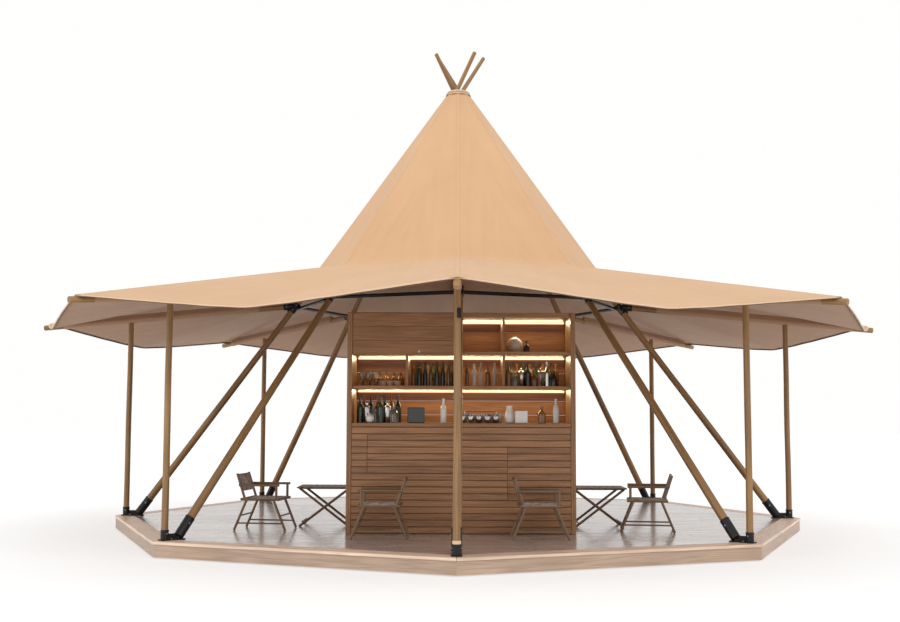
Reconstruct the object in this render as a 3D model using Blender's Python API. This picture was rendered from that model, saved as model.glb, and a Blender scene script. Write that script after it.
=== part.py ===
"""Open-sided octagonal pole pavilion: timber deck, eight posts, eight leaning poles,
a fabric cone with an eight-pointed brim, and a slatted bar with shelves.

Metres, +Z up. The origin is under the middle of the deck, on the ground. Bay 1 faces
the viewer (-Y) and the bays count round to the right (+X). Each bay has an empty that
is turned about Z, and the pieces of the bay are children of it.
"""
import math

import bmesh
import bpy
from mathutils import Vector

# the octagon, and how many flats stand for a round piece
BAYS = 8
POLE_SIDES = 16
STICK_SIDES = 12
CROWN_SIDES = 32
CORNER = math.cos(math.pi / BAYS)
SMOOTH_ANGLE = math.radians(30.0)
GAP = 0.0004

# deck, measured to the corners of its octagon
DECK_R = 4.00
DECK_H = 0.155
EDGE_W = 0.100

# upright posts and their shoes
POST_AT = 3.87
POST_R = 0.033
POST_TOP_R = 0.030
PLATE_T = 0.010
PLATE_W = 0.094
PLATE_IN = 3.665
PLATE_OUT = 3.920
SLEEVE_H = 0.090
SLEEVE_WALL = 0.005
WEB_T = 0.010
WEB_H = 0.050

# leaning poles: foot, crossing point over the middle, and taper
FOOT_AT = 3.70
FOOT_Z = DECK_H + 0.060
CROSS_Z = DECK_H + 5.03
CROSS_ASIDE = 0.045
POLE_FOOT_R = 0.042
POLE_CROSS_R = 0.0275
POLE_TIP_R = 0.023
FRONT_TIP_Z = DECK_H + 5.55
REAR_TIP_Z = DECK_H + 5.47
SHORT_TIP_Z = DECK_H + 4.84
LEANING_SLEEVE_Z = DECK_H + 0.200

# steel ring that ties the leaning poles, with a collar and a rafter socket at each
RING_R = 1.862
RING_TUBE_R = 0.020
RING_Z = DECK_H + 2.44
COLLAR_HALF = 0.050
SOCKET_IN = 1.945
SOCKET_OUT = 2.06

# rafters, which fall a little on their way out to the points of the brim
RAFTER_IN = 2.000
RAFTER_OUT = 4.90
RAFTER_IN_R = 0.035
RAFTER_OUT_R = 0.031
RAFTER_Z = DECK_H + 2.455
RAFTER_FALL = 0.0908

# crown ring inside the poles, under their crossing
CROWN_IN_R = 0.100
CROWN_OUT_R = 0.176
CROWN_LOW_Z = DECK_H + 4.70
CROWN_T = 0.040

# fabric: a cone down to the fold, and a brim from the fold to a scalloped hem
FABRIC_T = 0.006
FOLD_R = 1.73
FOLD_Z = DECK_H + 2.80
SEAM_GAP = 0.002
CONE_TOP_R = 0.105
CONE_TOP_Z = DECK_H + 5.06
POINT_AT = 4.84
POINT_Z = DECK_H + 2.243
VALLEY_AT = 4.55
VALLEY_Z = DECK_H + 2.064
VALLEY_ROUND = 0.20
HEM_STEPS = 12
BRIM_ROWS = 6

# bar
BAR_X = 0.04
BAR_HALF = 1.15
BAR_FRONT = -2.03
SHELF_FRONT = -2.00
BAR_BACK = -1.38
SIDE_T = 0.050
BOARD_T = 0.030
COUNTER_T = 0.040
COUNTER_LIP = 0.008
COUNTER_Z = DECK_H + 1.10
SHELF_T = 0.036
LOWER_SHELF_Z = DECK_H + 1.438
UPPER_SHELF_Z = DECK_H + 1.785
TOP_BOARD_Z = DECK_H + 2.165
BAR_TOP_Z = DECK_H + 2.215
DIVIDER_T = 0.025
DIVIDER_X = (-0.51, -0.02, 0.47)
DIVIDER_SETBACK = 0.020
LET_IN = 0.010
PANEL_T = 0.020
PANEL_GAP = 0.005

# low camp furniture of round sticks, sizes from the middle of each piece
STICK_R = 0.013
TABLE_HALF = (0.29, 0.24)
TABLE_LEGS = (0.26, 0.19)
TABLE_TOP = 0.415
TABLE_BOARD = 0.022
SEAT_HALF = (0.20, 0.22)
SEAT_TOP = 0.327
SEAT_PAD = 0.024
CHAIR_SIDE = 0.20
LEG_TOP = 0.14
LEG_FOOT = 0.27
BACK_FOOT = -0.16
BACK_HEAD = -0.25
BACK_TOP = 0.565
BACK_CLOTH_LOW = 0.405
BACK_CLOTH_T = 0.020
ARM_Z = 0.455
ARM_FRONT = 0.20
ARM_BACK = -0.21
ARM_POST = 0.17

# where the furniture stands on the deck: x, y and the turn about Z; a chair faces +X
TABLE_SPOTS = {"table_left": (-1.41, -1.08, 0.0), "table_right": (1.51, -1.08, 0.0)}
CHAIR_TURN = math.radians(-8.0)
CHAIR_SPOTS = {
    "chair_left": (-1.98, -1.58, CHAIR_TURN),
    "chair_right": (1.96, -1.62, math.pi + CHAIR_TURN),
    "chair_inner_left": (-0.74, -2.40, math.pi),
    "chair_inner_right": (0.80, -2.40, 0.0),
}


def clear_scene():
    """Remove every object, mesh and material that the file opened with."""
    for item in list(bpy.data.objects):
        bpy.data.objects.remove(item, do_unlink=True)
    for item in list(bpy.data.meshes):
        bpy.data.meshes.remove(item)
    for item in list(bpy.data.materials):
        bpy.data.materials.remove(item)


def material(name, colour, roughness, metallic=0.0):
    """A plain Principled BSDF material."""
    mat = bpy.data.materials.new(name)
    mat.use_nodes = True
    bsdf = mat.node_tree.nodes["Principled BSDF"]
    bsdf.inputs["Base Color"].default_value = (*colour, 1.0)
    bsdf.inputs["Roughness"].default_value = roughness
    bsdf.inputs["Metallic"].default_value = metallic
    return mat


def place(name, mesh, parent=None, location=(0.0, 0.0, 0.0), turn=0.0):
    """A named object for a mesh (an empty for None), moved and turned about Z."""
    obj = bpy.data.objects.new(name, mesh)
    bpy.context.scene.collection.objects.link(obj)
    obj.parent = parent
    obj.location = location
    obj.rotation_euler.z = turn
    return obj


def to_mesh(name, bm, mat=None):
    """Turn a bmesh into a mesh that is smooth where it is round."""
    mesh = bpy.data.meshes.new(name)
    bm.to_mesh(mesh)
    bm.free()
    return dress(mesh, mat)


def dress(mesh, mat):
    """Give a mesh its one material and smooth shading below the edge angle."""
    mesh.materials.clear()
    mesh.materials.append(mat)
    mesh.shade_smooth()
    mesh.set_sharp_from_angle(angle=SMOOTH_ANGLE)
    return mesh


def box(name, low, high, mat=None):
    """An upright box between two corners, placed by its centre."""
    low = Vector(low)
    high = Vector(high)
    bm = bmesh.new()
    bmesh.ops.create_cube(bm, size=1.0)
    bmesh.ops.scale(bm, verts=bm.verts, vec=high - low)
    return place(name, to_mesh(name, bm, mat), location=(low + high) / 2.0)


def rod(name, start, end, r_start, r_end, sides=POLE_SIDES, mat=None, parent=None):
    """A round, tapered bar between two points, placed by its middle and its rotation."""
    along = end - start
    bm = bmesh.new()
    bmesh.ops.create_cone(bm, cap_ends=True, segments=sides, radius1=r_start,
                          radius2=r_end, depth=along.length)
    obj = place(name, to_mesh(name, bm, mat), parent, (start + end) / 2.0)
    obj.rotation_mode = "QUATERNION"
    obj.rotation_quaternion = along.to_track_quat("Z", "Y")
    return obj


def extruded(name, outline, push, mat=None):
    """A flat outline of points, pushed along a vector into a solid."""
    bm = bmesh.new()
    face = bm.faces.new([bm.verts.new(point) for point in outline])
    grown = bmesh.ops.extrude_face_region(bm, geom=[face])["geom"]
    moved = [item for item in grown if isinstance(item, bmesh.types.BMVert)]
    bmesh.ops.translate(bm, verts=moved, vec=push)
    bmesh.ops.recalc_face_normals(bm, faces=bm.faces)
    return place(name, to_mesh(name, bm, mat))


def spun(name, profile, steps, mat=None):
    """A closed profile of (radius, z) points, spun about Z in flat steps."""
    bm = bmesh.new()
    verts = [bm.verts.new(spot(radius, z)) for radius, z in profile]
    edges = [bm.edges.new((verts[i - 1], verts[i])) for i in range(len(verts))]
    bmesh.ops.spin(bm, geom=verts + edges, cent=(0.0, 0.0, 0.0), axis=(0.0, 0.0, 1.0),
                   angle=2.0 * math.pi, steps=steps, use_merge=True)
    bmesh.ops.recalc_face_normals(bm, faces=bm.faces)
    return place(name, to_mesh(name, bm, mat))


def combine(base, others, operation):
    """Join or cut one solid with others by Booleans, and keep only the result."""
    for other in others:
        step = base.modifiers.new("step", "BOOLEAN")
        step.operation = operation
        step.solver = "EXACT"
        step.object = other
        bpy.context.view_layer.update()
        graph = bpy.context.evaluated_depsgraph_get()
        old = base.data
        base.data = bpy.data.meshes.new_from_object(base.evaluated_get(graph))
        base.modifiers.clear()
        bpy.data.meshes.remove(old)
        bpy.data.objects.remove(other, do_unlink=True)


def cut_below(obj, level):
    """Cut off all that reaches below a level."""
    reach = 2.0 * DECK_R
    combine(obj, [box("below", (-reach, -reach, level - 1.0), (reach, reach, level))],
            "DIFFERENCE")


def taken_mesh(obj, mat):
    """Take the mesh of a pattern piece, moved to where it stood, and drop the piece."""
    mesh = dress(obj.data, mat)
    mesh.transform(obj.matrix_world)
    bpy.data.objects.remove(obj, do_unlink=True)
    return mesh


def spot(radius, z, aside=0.0):
    """A point of the front bay, by its distance from the middle."""
    return Vector((aside, -radius, z))


def pole_at(z):
    """Centre of the front bay's leaning pole at a height."""
    share = (z - FOOT_Z) / (CROSS_Z - FOOT_Z)
    return spot(FOOT_AT * (1.0 - share), z, CROSS_ASIDE * share)


def pole_radius(z):
    """Radius of a leaning pole at a height."""
    share = (z - FOOT_Z) / (CROSS_Z - FOOT_Z)
    return POLE_FOOT_R + (POLE_CROSS_R - POLE_FOOT_R) * share


def rafter_at(radius):
    """Centre of the front bay's rafter at a distance from the middle."""
    return spot(radius, RAFTER_Z - (radius - RAFTER_IN) * RAFTER_FALL)


def rafter_radius(radius):
    """Radius of a rafter at a distance from the middle."""
    share = (radius - RAFTER_IN) / (RAFTER_OUT - RAFTER_IN)
    return RAFTER_IN_R + (RAFTER_OUT_R - RAFTER_IN_R) * share


def build_deck(edge_wood, floor_wood):
    """The edge beam all round and the floor that fills it."""
    inner = DECK_R - EDGE_W / CORNER
    spun("deck_edge", [(DECK_R, 0.0), (DECK_R, DECK_H), (inner, DECK_H), (inner, 0.0)],
         BAYS, edge_wood)
    rod("deck_floor", Vector((0.0, 0.0, 0.0)), Vector((0.0, 0.0, DECK_H)),
        inner - GAP, inner - GAP, BAYS, floor_wood)


def shoe_mesh(steel):
    """Black foot: a plate, an upright sleeve, a leaning sleeve and a web between them."""
    low = DECK_H + GAP
    middle = low + PLATE_T / 2.0
    top = low + PLATE_T
    half = PLATE_W / 2.0
    shoe = box("shoe", spot(PLATE_OUT, low, -half), spot(PLATE_IN, top, half))
    upright = rod("upright", spot(POST_AT, middle), spot(POST_AT, top + SLEEVE_H),
                  POST_R + SLEEVE_WALL, POST_R + SLEEVE_WALL)
    butt = pole_at(FOOT_Z)
    head = pole_at(LEANING_SLEEVE_Z)
    along = (head - butt).normalized()
    leaning = rod("leaning", pole_at(middle), head, POLE_FOOT_R + SLEEVE_WALL,
                  POLE_FOOT_R + SLEEVE_WALL)
    web = box("web", spot(POST_AT, middle, -WEB_T / 2.0), spot(FOOT_AT, top + WEB_H, WEB_T / 2.0))
    combine(shoe, [upright, leaning, web], "UNION")
    post_bore = rod("bore", spot(POST_AT, top), spot(POST_AT, top + 2.0 * SLEEVE_H),
                    POST_R + GAP, POST_R + GAP)
    pole_bore = rod("bore", butt - along * GAP, pole_at(2.0 * LEANING_SLEEVE_Z),
                    POLE_FOOT_R + GAP, POLE_FOOT_R + GAP)
    combine(shoe, [post_bore, pole_bore], "DIFFERENCE")
    cut_below(shoe, low)
    return taken_mesh(shoe, steel)


def build_post(bay, number, wood):
    """Upright round post from its shoe to the underside of the rafter."""
    low = DECK_H + GAP + PLATE_T + GAP
    under = rafter_radius(POST_AT) * math.hypot(1.0, RAFTER_FALL) + POST_TOP_R * RAFTER_FALL
    high = rafter_at(POST_AT).z - under - GAP
    rod(f"post_{number}", spot(POST_AT, low), spot(POST_AT, high), POST_R, POST_TOP_R,
        mat=wood, parent=bay)


def build_pole(bay, number, wood):
    """Leaning pole; every second one runs on through the top of the cone."""
    tip_z = SHORT_TIP_Z
    tip_r = pole_radius(SHORT_TIP_Z)
    if number % 2 == 0:
        tip_z = FRONT_TIP_Z if number in (2, BAYS) else REAR_TIP_Z
        tip_r = POLE_TIP_R
    rod(f"pole_{number}", pole_at(FOOT_Z), pole_at(tip_z), POLE_FOOT_R, tip_r,
        mat=wood, parent=bay)


def build_rafter(bay, number, wood):
    """Rafter from the ring's socket to the point of the brim."""
    rod(f"rafter_{number}", rafter_at(RAFTER_IN + GAP), rafter_at(RAFTER_OUT),
        RAFTER_IN_R, RAFTER_OUT_R, mat=wood, parent=bay)


def build_ring(bays, steel):
    """Octagonal tube ring with a pole collar and a rafter socket welded on at each corner."""
    turns = [2.0 * math.pi * i / STICK_SIDES for i in range(STICK_SIDES)]
    profile = [(RING_R + RING_TUBE_R * math.cos(turn) / CORNER,
                RING_Z + RING_TUBE_R * math.sin(turn)) for turn in turns]
    ring = spun("ring_frame", profile, BAYS)
    collar_r = pole_radius(RING_Z - COLLAR_HALF) + SLEEVE_WALL
    socket_r = RAFTER_IN_R + SLEEVE_WALL
    below = RING_Z - 2.0 * COLLAR_HALF
    above = RING_Z + 2.0 * COLLAR_HALF
    sleeves = []
    bores = []
    for bay in bays:
        sleeves.append(rod("collar", pole_at(RING_Z - COLLAR_HALF), pole_at(RING_Z + COLLAR_HALF),
                           collar_r, collar_r, parent=bay))
        sleeves.append(rod("socket", rafter_at(SOCKET_IN), rafter_at(SOCKET_OUT),
                           socket_r, socket_r, parent=bay))
        bores.append(rod("bore", pole_at(below), pole_at(above), pole_radius(below) + GAP,
                         pole_radius(above) + GAP, parent=bay))
        bores.append(rod("bore", rafter_at(RAFTER_IN), rafter_at(2.0 * SOCKET_OUT - RAFTER_IN),
                         RAFTER_IN_R + GAP, RAFTER_IN_R + GAP, parent=bay))
    combine(ring, sleeves, "UNION")
    combine(ring, bores, "DIFFERENCE")
    dress(ring.data, steel)


def build_crown(steel):
    """Flat ring that the poles lean on from outside, under the crossing."""
    top = CROWN_LOW_Z + CROWN_T
    spun("crown_ring", [(CROWN_OUT_R, CROWN_LOW_Z), (CROWN_OUT_R, top),
                        (CROWN_IN_R, top), (CROWN_IN_R, CROWN_LOW_Z)], CROWN_SIDES, steel)


def build_cone(fabric):
    """Upper cover: an octagonal cone of cloth, open at the top for the poles."""
    slope = math.atan2(CONE_TOP_Z - FOLD_Z, (FOLD_R - CONE_TOP_R) * CORNER)
    inset = FABRIC_T / math.sin(slope) / CORNER
    low = FOLD_Z + SEAM_GAP
    spun("canopy_cone", [(FOLD_R, low), (CONE_TOP_R, CONE_TOP_Z),
                         (CONE_TOP_R - inset, CONE_TOP_Z), (FOLD_R - inset, low)], BAYS, fabric)


def hem_rise(across):
    """Height of the hem from 0 in a valley to 1 at a point: half straight, half rounded."""
    rounded = math.hypot(across, VALLEY_ROUND) - VALLEY_ROUND
    full = math.hypot(1.0, VALLEY_ROUND) - VALLEY_ROUND
    return (rounded / full + across) / 2.0


def octagon_point(bay, share, radius, z):
    """A point on the straight side between two bays' corners of an octagon."""
    corners = []
    for corner in (bay, bay + 1):
        turn = 2.0 * math.pi * corner / BAYS
        corners.append(Vector((radius * math.sin(turn), -radius * math.cos(turn), z)))
    return corners[0].lerp(corners[1], share)


def brim_point(bay, share, row):
    """A point of the brim's upper face; share runs from bay to bay, row from fold to hem."""
    across = abs(2.0 * share - 1.0)
    fold = octagon_point(bay, share, FOLD_R, FOLD_Z)
    hem = octagon_point(bay, share, POINT_AT, 0.0)
    bow = (VALLEY_AT - POINT_AT * CORNER) * (1.0 - across * across)
    hem += hem.normalized() * bow
    hem.z = VALLEY_Z + (POINT_Z - VALLEY_Z) * hem_rise(across)
    return fold.lerp(hem, row / BRIM_ROWS)


def build_brim(fabric):
    """Lower cover: an eight-pointed brim, high over the rafters and low between them."""
    bm = bmesh.new()
    lines = []
    for bay in range(BAYS):
        for part in range(HEM_STEPS):
            lines.append([bm.verts.new(brim_point(bay, part / HEM_STEPS, row))
                          for row in range(BRIM_ROWS + 1)])
    for i, line in enumerate(lines):
        after = lines[(i + 1) % len(lines)]
        for row in range(BRIM_ROWS):
            bm.faces.new((line[row], line[row + 1], after[row + 1], after[row]))
    brim = place("canopy_brim", to_mesh("canopy_brim", bm, fabric))
    thick = brim.modifiers.new("thickness", "SOLIDIFY")
    thick.thickness = FABRIC_T
    thick.offset = -1.0


def bar_side(name, x, wood):
    """Side board, from the floor to the top of the shelves."""
    box(name, (x, BAR_FRONT, DECK_H + GAP), (x + SIDE_T, BAR_BACK, BAR_TOP_Z), wood)


def bar_shelves(left, right, wood):
    """Back board with two shelves, a top board and three dividers."""
    back = BAR_BACK - BOARD_T
    unit = box("bar_shelves", (left, back, DECK_H + GAP), (right, BAR_BACK, BAR_TOP_Z))
    boards = [box("board", (left, SHELF_FRONT, low), (right, back + LET_IN, high))
              for low, high in ((LOWER_SHELF_Z, LOWER_SHELF_Z + SHELF_T),
                                (UPPER_SHELF_Z, UPPER_SHELF_Z + SHELF_T),
                                (TOP_BOARD_Z, BAR_TOP_Z))]
    for x in DIVIDER_X:
        boards.append(box("divider", (x - DIVIDER_T / 2.0, SHELF_FRONT + DIVIDER_SETBACK,
                                      LOWER_SHELF_Z + LET_IN),
                          (x + DIVIDER_T / 2.0, back + LET_IN, TOP_BOARD_Z + LET_IN)))
    combine(unit, boards, "UNION")
    dress(unit.data, wood)


def build_bar(slat_wood, shelf_wood, frame_wood):
    """Slatted bar with a counter, full-height side boards and shelves behind."""
    left = BAR_X - BAR_HALF
    right = BAR_X + BAR_HALF
    inner_left = left + SIDE_T + GAP
    inner_right = right - SIDE_T - GAP
    under = COUNTER_Z - COUNTER_T
    box("bar_front", (inner_left, BAR_FRONT, DECK_H + GAP),
        (inner_right, BAR_FRONT + BOARD_T, under - GAP), slat_wood)
    bar_side("bar_side_left", left, frame_wood)
    bar_side("bar_side_right", right - SIDE_T, frame_wood)
    box("bar_counter", (inner_left, BAR_FRONT - COUNTER_LIP, under),
        (inner_right, BAR_BACK - BOARD_T - GAP, COUNTER_Z), frame_wood)
    bar_shelves(inner_left, inner_right, shelf_wood)
    box("bar_upper_panel", (inner_left + GAP, SHELF_FRONT - PANEL_T, UPPER_SHELF_Z + PANEL_GAP),
        (DIVIDER_X[1], SHELF_FRONT - GAP, BAR_TOP_Z - PANEL_GAP), shelf_wood)


def stick(start, end):
    """A round stick of the furniture."""
    return rod("stick", Vector(start), Vector(end), STICK_R, STICK_R, STICK_SIDES)


def table_mesh(wood):
    """Low table: a flat top on two X frames of sticks, tied through the crossings."""
    half_x, half_y = TABLE_HALF
    leg_x, leg_y = TABLE_LEGS
    low = -STICK_R
    high = TABLE_TOP - TABLE_BOARD
    table = box("table", (-half_x, -half_y, high), (half_x, half_y, TABLE_TOP))
    sticks = []
    for y in (-leg_y, leg_y):
        sticks.append(stick((-leg_x, y, low), (leg_x, y, high)))
        sticks.append(stick((leg_x, y, low), (-leg_x, y, high)))
    middle = (low + high) / 2.0
    sticks.append(stick((0.0, -leg_y, middle), (0.0, leg_y, middle)))
    combine(table, sticks, "UNION")
    cut_below(table, 0.0)
    return taken_mesh(table, wood)


def chair_mesh(wood):
    """Low camp chair that faces +X: splayed legs, a flat seat, arms and a leaning back."""
    half_x, half_y = SEAT_HALF
    chair = box("chair", (-half_x, -half_y, SEAT_TOP - SEAT_PAD), (half_x, half_y, SEAT_TOP))
    seat_z = SEAT_TOP - SEAT_PAD / 2.0
    parts = []
    for y in (-CHAIR_SIDE, CHAIR_SIDE):
        for end in (-1.0, 1.0):
            parts.append(stick((end * LEG_FOOT, y, -STICK_R), (end * LEG_TOP, y, seat_z)))
        parts.append(stick((BACK_FOOT, y, seat_z), (BACK_HEAD, y, BACK_TOP)))
        parts.append(stick((ARM_POST, y, seat_z), (ARM_POST, y, ARM_Z)))
        parts.append(stick((ARM_FRONT, y, ARM_Z), (ARM_BACK, y, ARM_Z)))
    cloth = []
    for z, ahead in ((BACK_CLOTH_LOW, 1.0), (BACK_TOP, 1.0), (BACK_TOP, -1.0), (BACK_CLOTH_LOW, -1.0)):
        lean = (z - seat_z) / (BACK_TOP - seat_z)
        x = BACK_FOOT + (BACK_HEAD - BACK_FOOT) * lean + ahead * BACK_CLOTH_T / 2.0
        cloth.append((x, -CHAIR_SIDE, z))
    parts.append(extruded("cloth", cloth, (0.0, 2.0 * CHAIR_SIDE, 0.0)))
    combine(chair, parts, "UNION")
    cut_below(chair, 0.0)
    return taken_mesh(chair, wood)


def build_furniture(wood):
    """Two tables from one mesh and four chairs from another."""
    for mesh, spots in ((table_mesh(wood), TABLE_SPOTS), (chair_mesh(wood), CHAIR_SPOTS)):
        for name, (x, y, turn) in spots.items():
            place(name, mesh, location=(x, y, DECK_H + GAP), turn=turn)


def main():
    """Build the whole pavilion."""
    clear_scene()
    edge_wood = material("deck_wood", (0.56, 0.42, 0.31), 0.55)
    floor_wood = material("floor_board", (0.55, 0.51, 0.48), 0.25)
    pole_wood = material("pole_wood", (0.52, 0.32, 0.14), 0.5)
    steel = material("black_steel", (0.02, 0.02, 0.022), 0.35, 0.6)
    cloth = material("canopy_cloth", (0.72, 0.52, 0.36), 0.85)
    slat_wood = material("slat_wood", (0.25, 0.14, 0.08), 0.55)
    shelf_wood = material("shelf_wood", (0.22, 0.12, 0.065), 0.6)
    frame_wood = material("frame_wood", (0.36, 0.23, 0.13), 0.55)
    seat_wood = material("camp_furniture", (0.26, 0.19, 0.12), 0.6)
    bays = [place(f"bay_{k + 1}", None, turn=2.0 * math.pi * k / BAYS) for k in range(BAYS)]
    build_deck(edge_wood, floor_wood)
    shoe = shoe_mesh(steel)
    for number, bay in enumerate(bays, 1):
        place(f"shoe_{number}", shoe, bay)
        build_post(bay, number, pole_wood)
        build_pole(bay, number, pole_wood)
        build_rafter(bay, number, pole_wood)
    build_ring(bays, steel)
    build_crown(steel)
    build_cone(cloth)
    build_brim(cloth)
    build_bar(slat_wood, shelf_wood, frame_wood)
    build_furniture(seat_wood)


main()
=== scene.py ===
"""Octagonal pole pavilion with a bar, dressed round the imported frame.

A timber deck carries eight posts and eight leaning poles. They hold a canvas cover: a
cone over the middle and a wide brim with eight points. A slatted bar with lit shelves and
low camp furniture stand on the deck. Metres, +Z up, origin on the ground under the middle
of the deck. Bay 1 faces -Y and the bays count round towards +X.
"""
import logging
import math
from dataclasses import dataclass, field
from enum import Enum

import bpy
import numpy as np
from mathutils import Matrix


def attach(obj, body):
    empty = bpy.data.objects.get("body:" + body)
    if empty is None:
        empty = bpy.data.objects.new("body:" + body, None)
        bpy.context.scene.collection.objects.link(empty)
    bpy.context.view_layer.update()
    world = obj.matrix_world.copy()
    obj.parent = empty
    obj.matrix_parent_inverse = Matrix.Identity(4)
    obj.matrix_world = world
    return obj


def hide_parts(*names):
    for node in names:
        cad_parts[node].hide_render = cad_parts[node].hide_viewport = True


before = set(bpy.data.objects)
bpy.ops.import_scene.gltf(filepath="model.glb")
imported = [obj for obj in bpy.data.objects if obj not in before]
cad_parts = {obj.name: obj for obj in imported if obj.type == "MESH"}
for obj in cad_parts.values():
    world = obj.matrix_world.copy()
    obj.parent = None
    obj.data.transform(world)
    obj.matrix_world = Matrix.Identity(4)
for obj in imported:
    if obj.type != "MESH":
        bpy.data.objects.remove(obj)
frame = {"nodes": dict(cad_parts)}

Array = np.ndarray
Colour = tuple[float, float, float]
log = logging.getLogger("pavilion")

BAYS = 8
BAY_ANGLE = 2.0 * math.pi / BAYS
CORNER = math.cos(math.pi / BAYS)
DECK_R = 4.00
DECK_H = 0.155
ROOT = "root"


class Side(Enum):
    """Left or right of the middle, seen from the front."""

    LEFT = -1.0
    RIGHT = 1.0


# surfaces

@dataclass
class Surface:
    """A closed skin: points, faces as rows of point numbers, a grain vector a point."""

    points: Array
    faces: list[Array]
    grain: Array
    tones: list[Array]

    def turned(self, angle: float) -> "Surface":
        """The skin turned about the upright axis."""
        return self.placed(turn_z(angle), np.zeros(3))

    def placed(self, axes: Array, origin: Array) -> "Surface":
        """The skin with its own x, y and z along the rows of axes, moved to origin."""
        return Surface(self.points @ axes + origin, self.faces, self.grain, self.tones)

    def toned(self, tone: float) -> "Surface":
        """The skin with one tone on all its faces."""
        return Surface(self.points, self.faces, self.grain,
                       [np.full(len(f), tone) for f in self.faces])


def turn_z(angle: float) -> Array:
    """Rows of the axes that an angle about the upright axis turns x, y and z to."""
    c, s = math.cos(angle), math.sin(angle)
    return np.array([[c, s, 0.0], [-s, c, 0.0], [0.0, 0.0, 1.0]])


def unit(vectors: Array) -> Array:
    """Vectors scaled to length one."""
    return vectors / np.maximum(np.linalg.norm(vectors, axis=-1, keepdims=True), 1e-12)


def joined(parts: list[Surface]) -> Surface:
    """Several skins as one, with their point numbers moved up one after the other.

    Args:
        parts: the skins to put together.

    Returns:
        One skin that holds them all.
    """
    shift = np.cumsum([0] + [len(p.points) for p in parts])
    faces = [f + s for p, s in zip(parts, shift) for f in p.faces]
    tones = [t for p in parts for t in p.tones]
    return Surface(np.concatenate([p.points for p in parts]), faces,
                   np.concatenate([p.grain for p in parts]), tones)


def lattice(rows: int, columns: int, loop_rows: bool = False, loop_columns: bool = True,
            flip: bool = False) -> Array:
    """Four-cornered faces between the neighbours of a grid of points.

    Args:
        rows: number of rows in the grid.
        columns: number of points in a row.
        loop_rows: whether the last row joins the first.
        loop_columns: whether a row's last point joins its first.
        flip: turn the faces over.

    Returns:
        Rows of four point numbers; outwards is across the row times along the rows.
    """
    i = np.arange(rows if loop_rows else rows - 1)[:, None]
    j = np.arange(columns if loop_columns else columns - 1)[None, :]
    after_i, after_j = (i + 1) % rows, (j + 1) % columns
    quad = np.stack([i * columns + j, i * columns + after_j,
                     after_i * columns + after_j, after_i * columns + j], axis=-1)
    quad = quad.reshape(-1, 4)
    return quad[:, ::-1] if flip else quad


def tube(path: Array, radius: Array, sides: int = 12, tone: float = 0.5,
         seed: float = 0.0, loop: bool = False, up: Array | None = None) -> Surface:
    """A round skin along a path: point = path + radius (cos a, sin a) across the path.

    Args:
        path: points of the centre line, one a row.
        radius: one radius for each point, or one for each point and side.
        sides: points round the tube.
        tone: how light the piece is among its neighbours.
        seed: moves the grain, so that no two pieces look the same.
        loop: whether the path closes on itself.
        up: a direction that is never along the path.

    Returns:
        The skin, capped at both ends unless it is a loop.
    """
    path = np.asarray(path, float)
    count = len(path)
    if loop:
        along = unit(np.roll(path, -1, axis=0) - np.roll(path, 1, axis=0))
    else:
        along = unit(np.gradient(path, axis=0))
    if up is None:
        up = np.array([1.0, 0.0, 0.0]) if abs(along[:, 2]).mean() > 0.8 else np.array([0.0, 0.0, 1.0])
    first = unit(np.cross(up, along))
    second = np.cross(along, first)
    radius = np.broadcast_to(np.asarray(radius, float).reshape(-1, 1)
                             if np.ndim(radius) < 2 else radius, (count, sides))
    turn = np.arange(sides) * 2.0 * math.pi / sides
    ring = (first[:, None, :] * np.cos(turn)[None, :, None]
            + second[:, None, :] * np.sin(turn)[None, :, None]) * radius[..., None]
    points = (path[:, None, :] + ring).reshape(-1, 3)
    length = np.concatenate([[0.0], np.cumsum(np.linalg.norm(np.diff(path, axis=0), axis=1))])
    grain = np.stack([np.broadcast_to(length[:, None] + seed, (count, sides)),
                      np.cos(turn) * radius + 3.7 * seed, np.sin(turn) * radius + 1.3 * seed], axis=-1)
    faces = [lattice(count, sides, loop_rows=loop)]
    if not loop:
        last = (count - 1) * sides + np.arange(sides)
        faces.append(np.stack([np.arange(sides)[::-1], last]))
    return Surface(points, faces, grain.reshape(-1, 3), [np.full(len(f), tone) for f in faces])


def rod(start: Array, end: Array, r_start: float, r_end: float | None = None, sides: int = 12,
        tone: float = 0.5, seed: float = 0.0, cut: float = 0.002) -> Surface:
    """A straight round bar with its end edges cut: radius runs evenly from end to end.

    Args:
        start: centre of the first end.
        end: centre of the other end.
        r_start: radius at the first end.
        r_end: radius at the other end, the same when left out.
        sides: points round the bar.
        tone: how light the piece is among its neighbours.
        seed: moves the grain.
        cut: width of the cut edge.

    Returns:
        The closed skin.
    """
    start, end = np.asarray(start, float), np.asarray(end, float)
    r_end = r_start if r_end is None else r_end
    share = np.array([0.0, cut / np.linalg.norm(end - start), 0.0, 1.0])
    share[2] = 1.0 - share[1]
    path = start + (end - start) * share[:, None]
    radius = r_start + (r_end - r_start) * share
    radius[[0, -1]] -= cut
    return tube(path, radius, sides, tone, seed)


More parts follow.
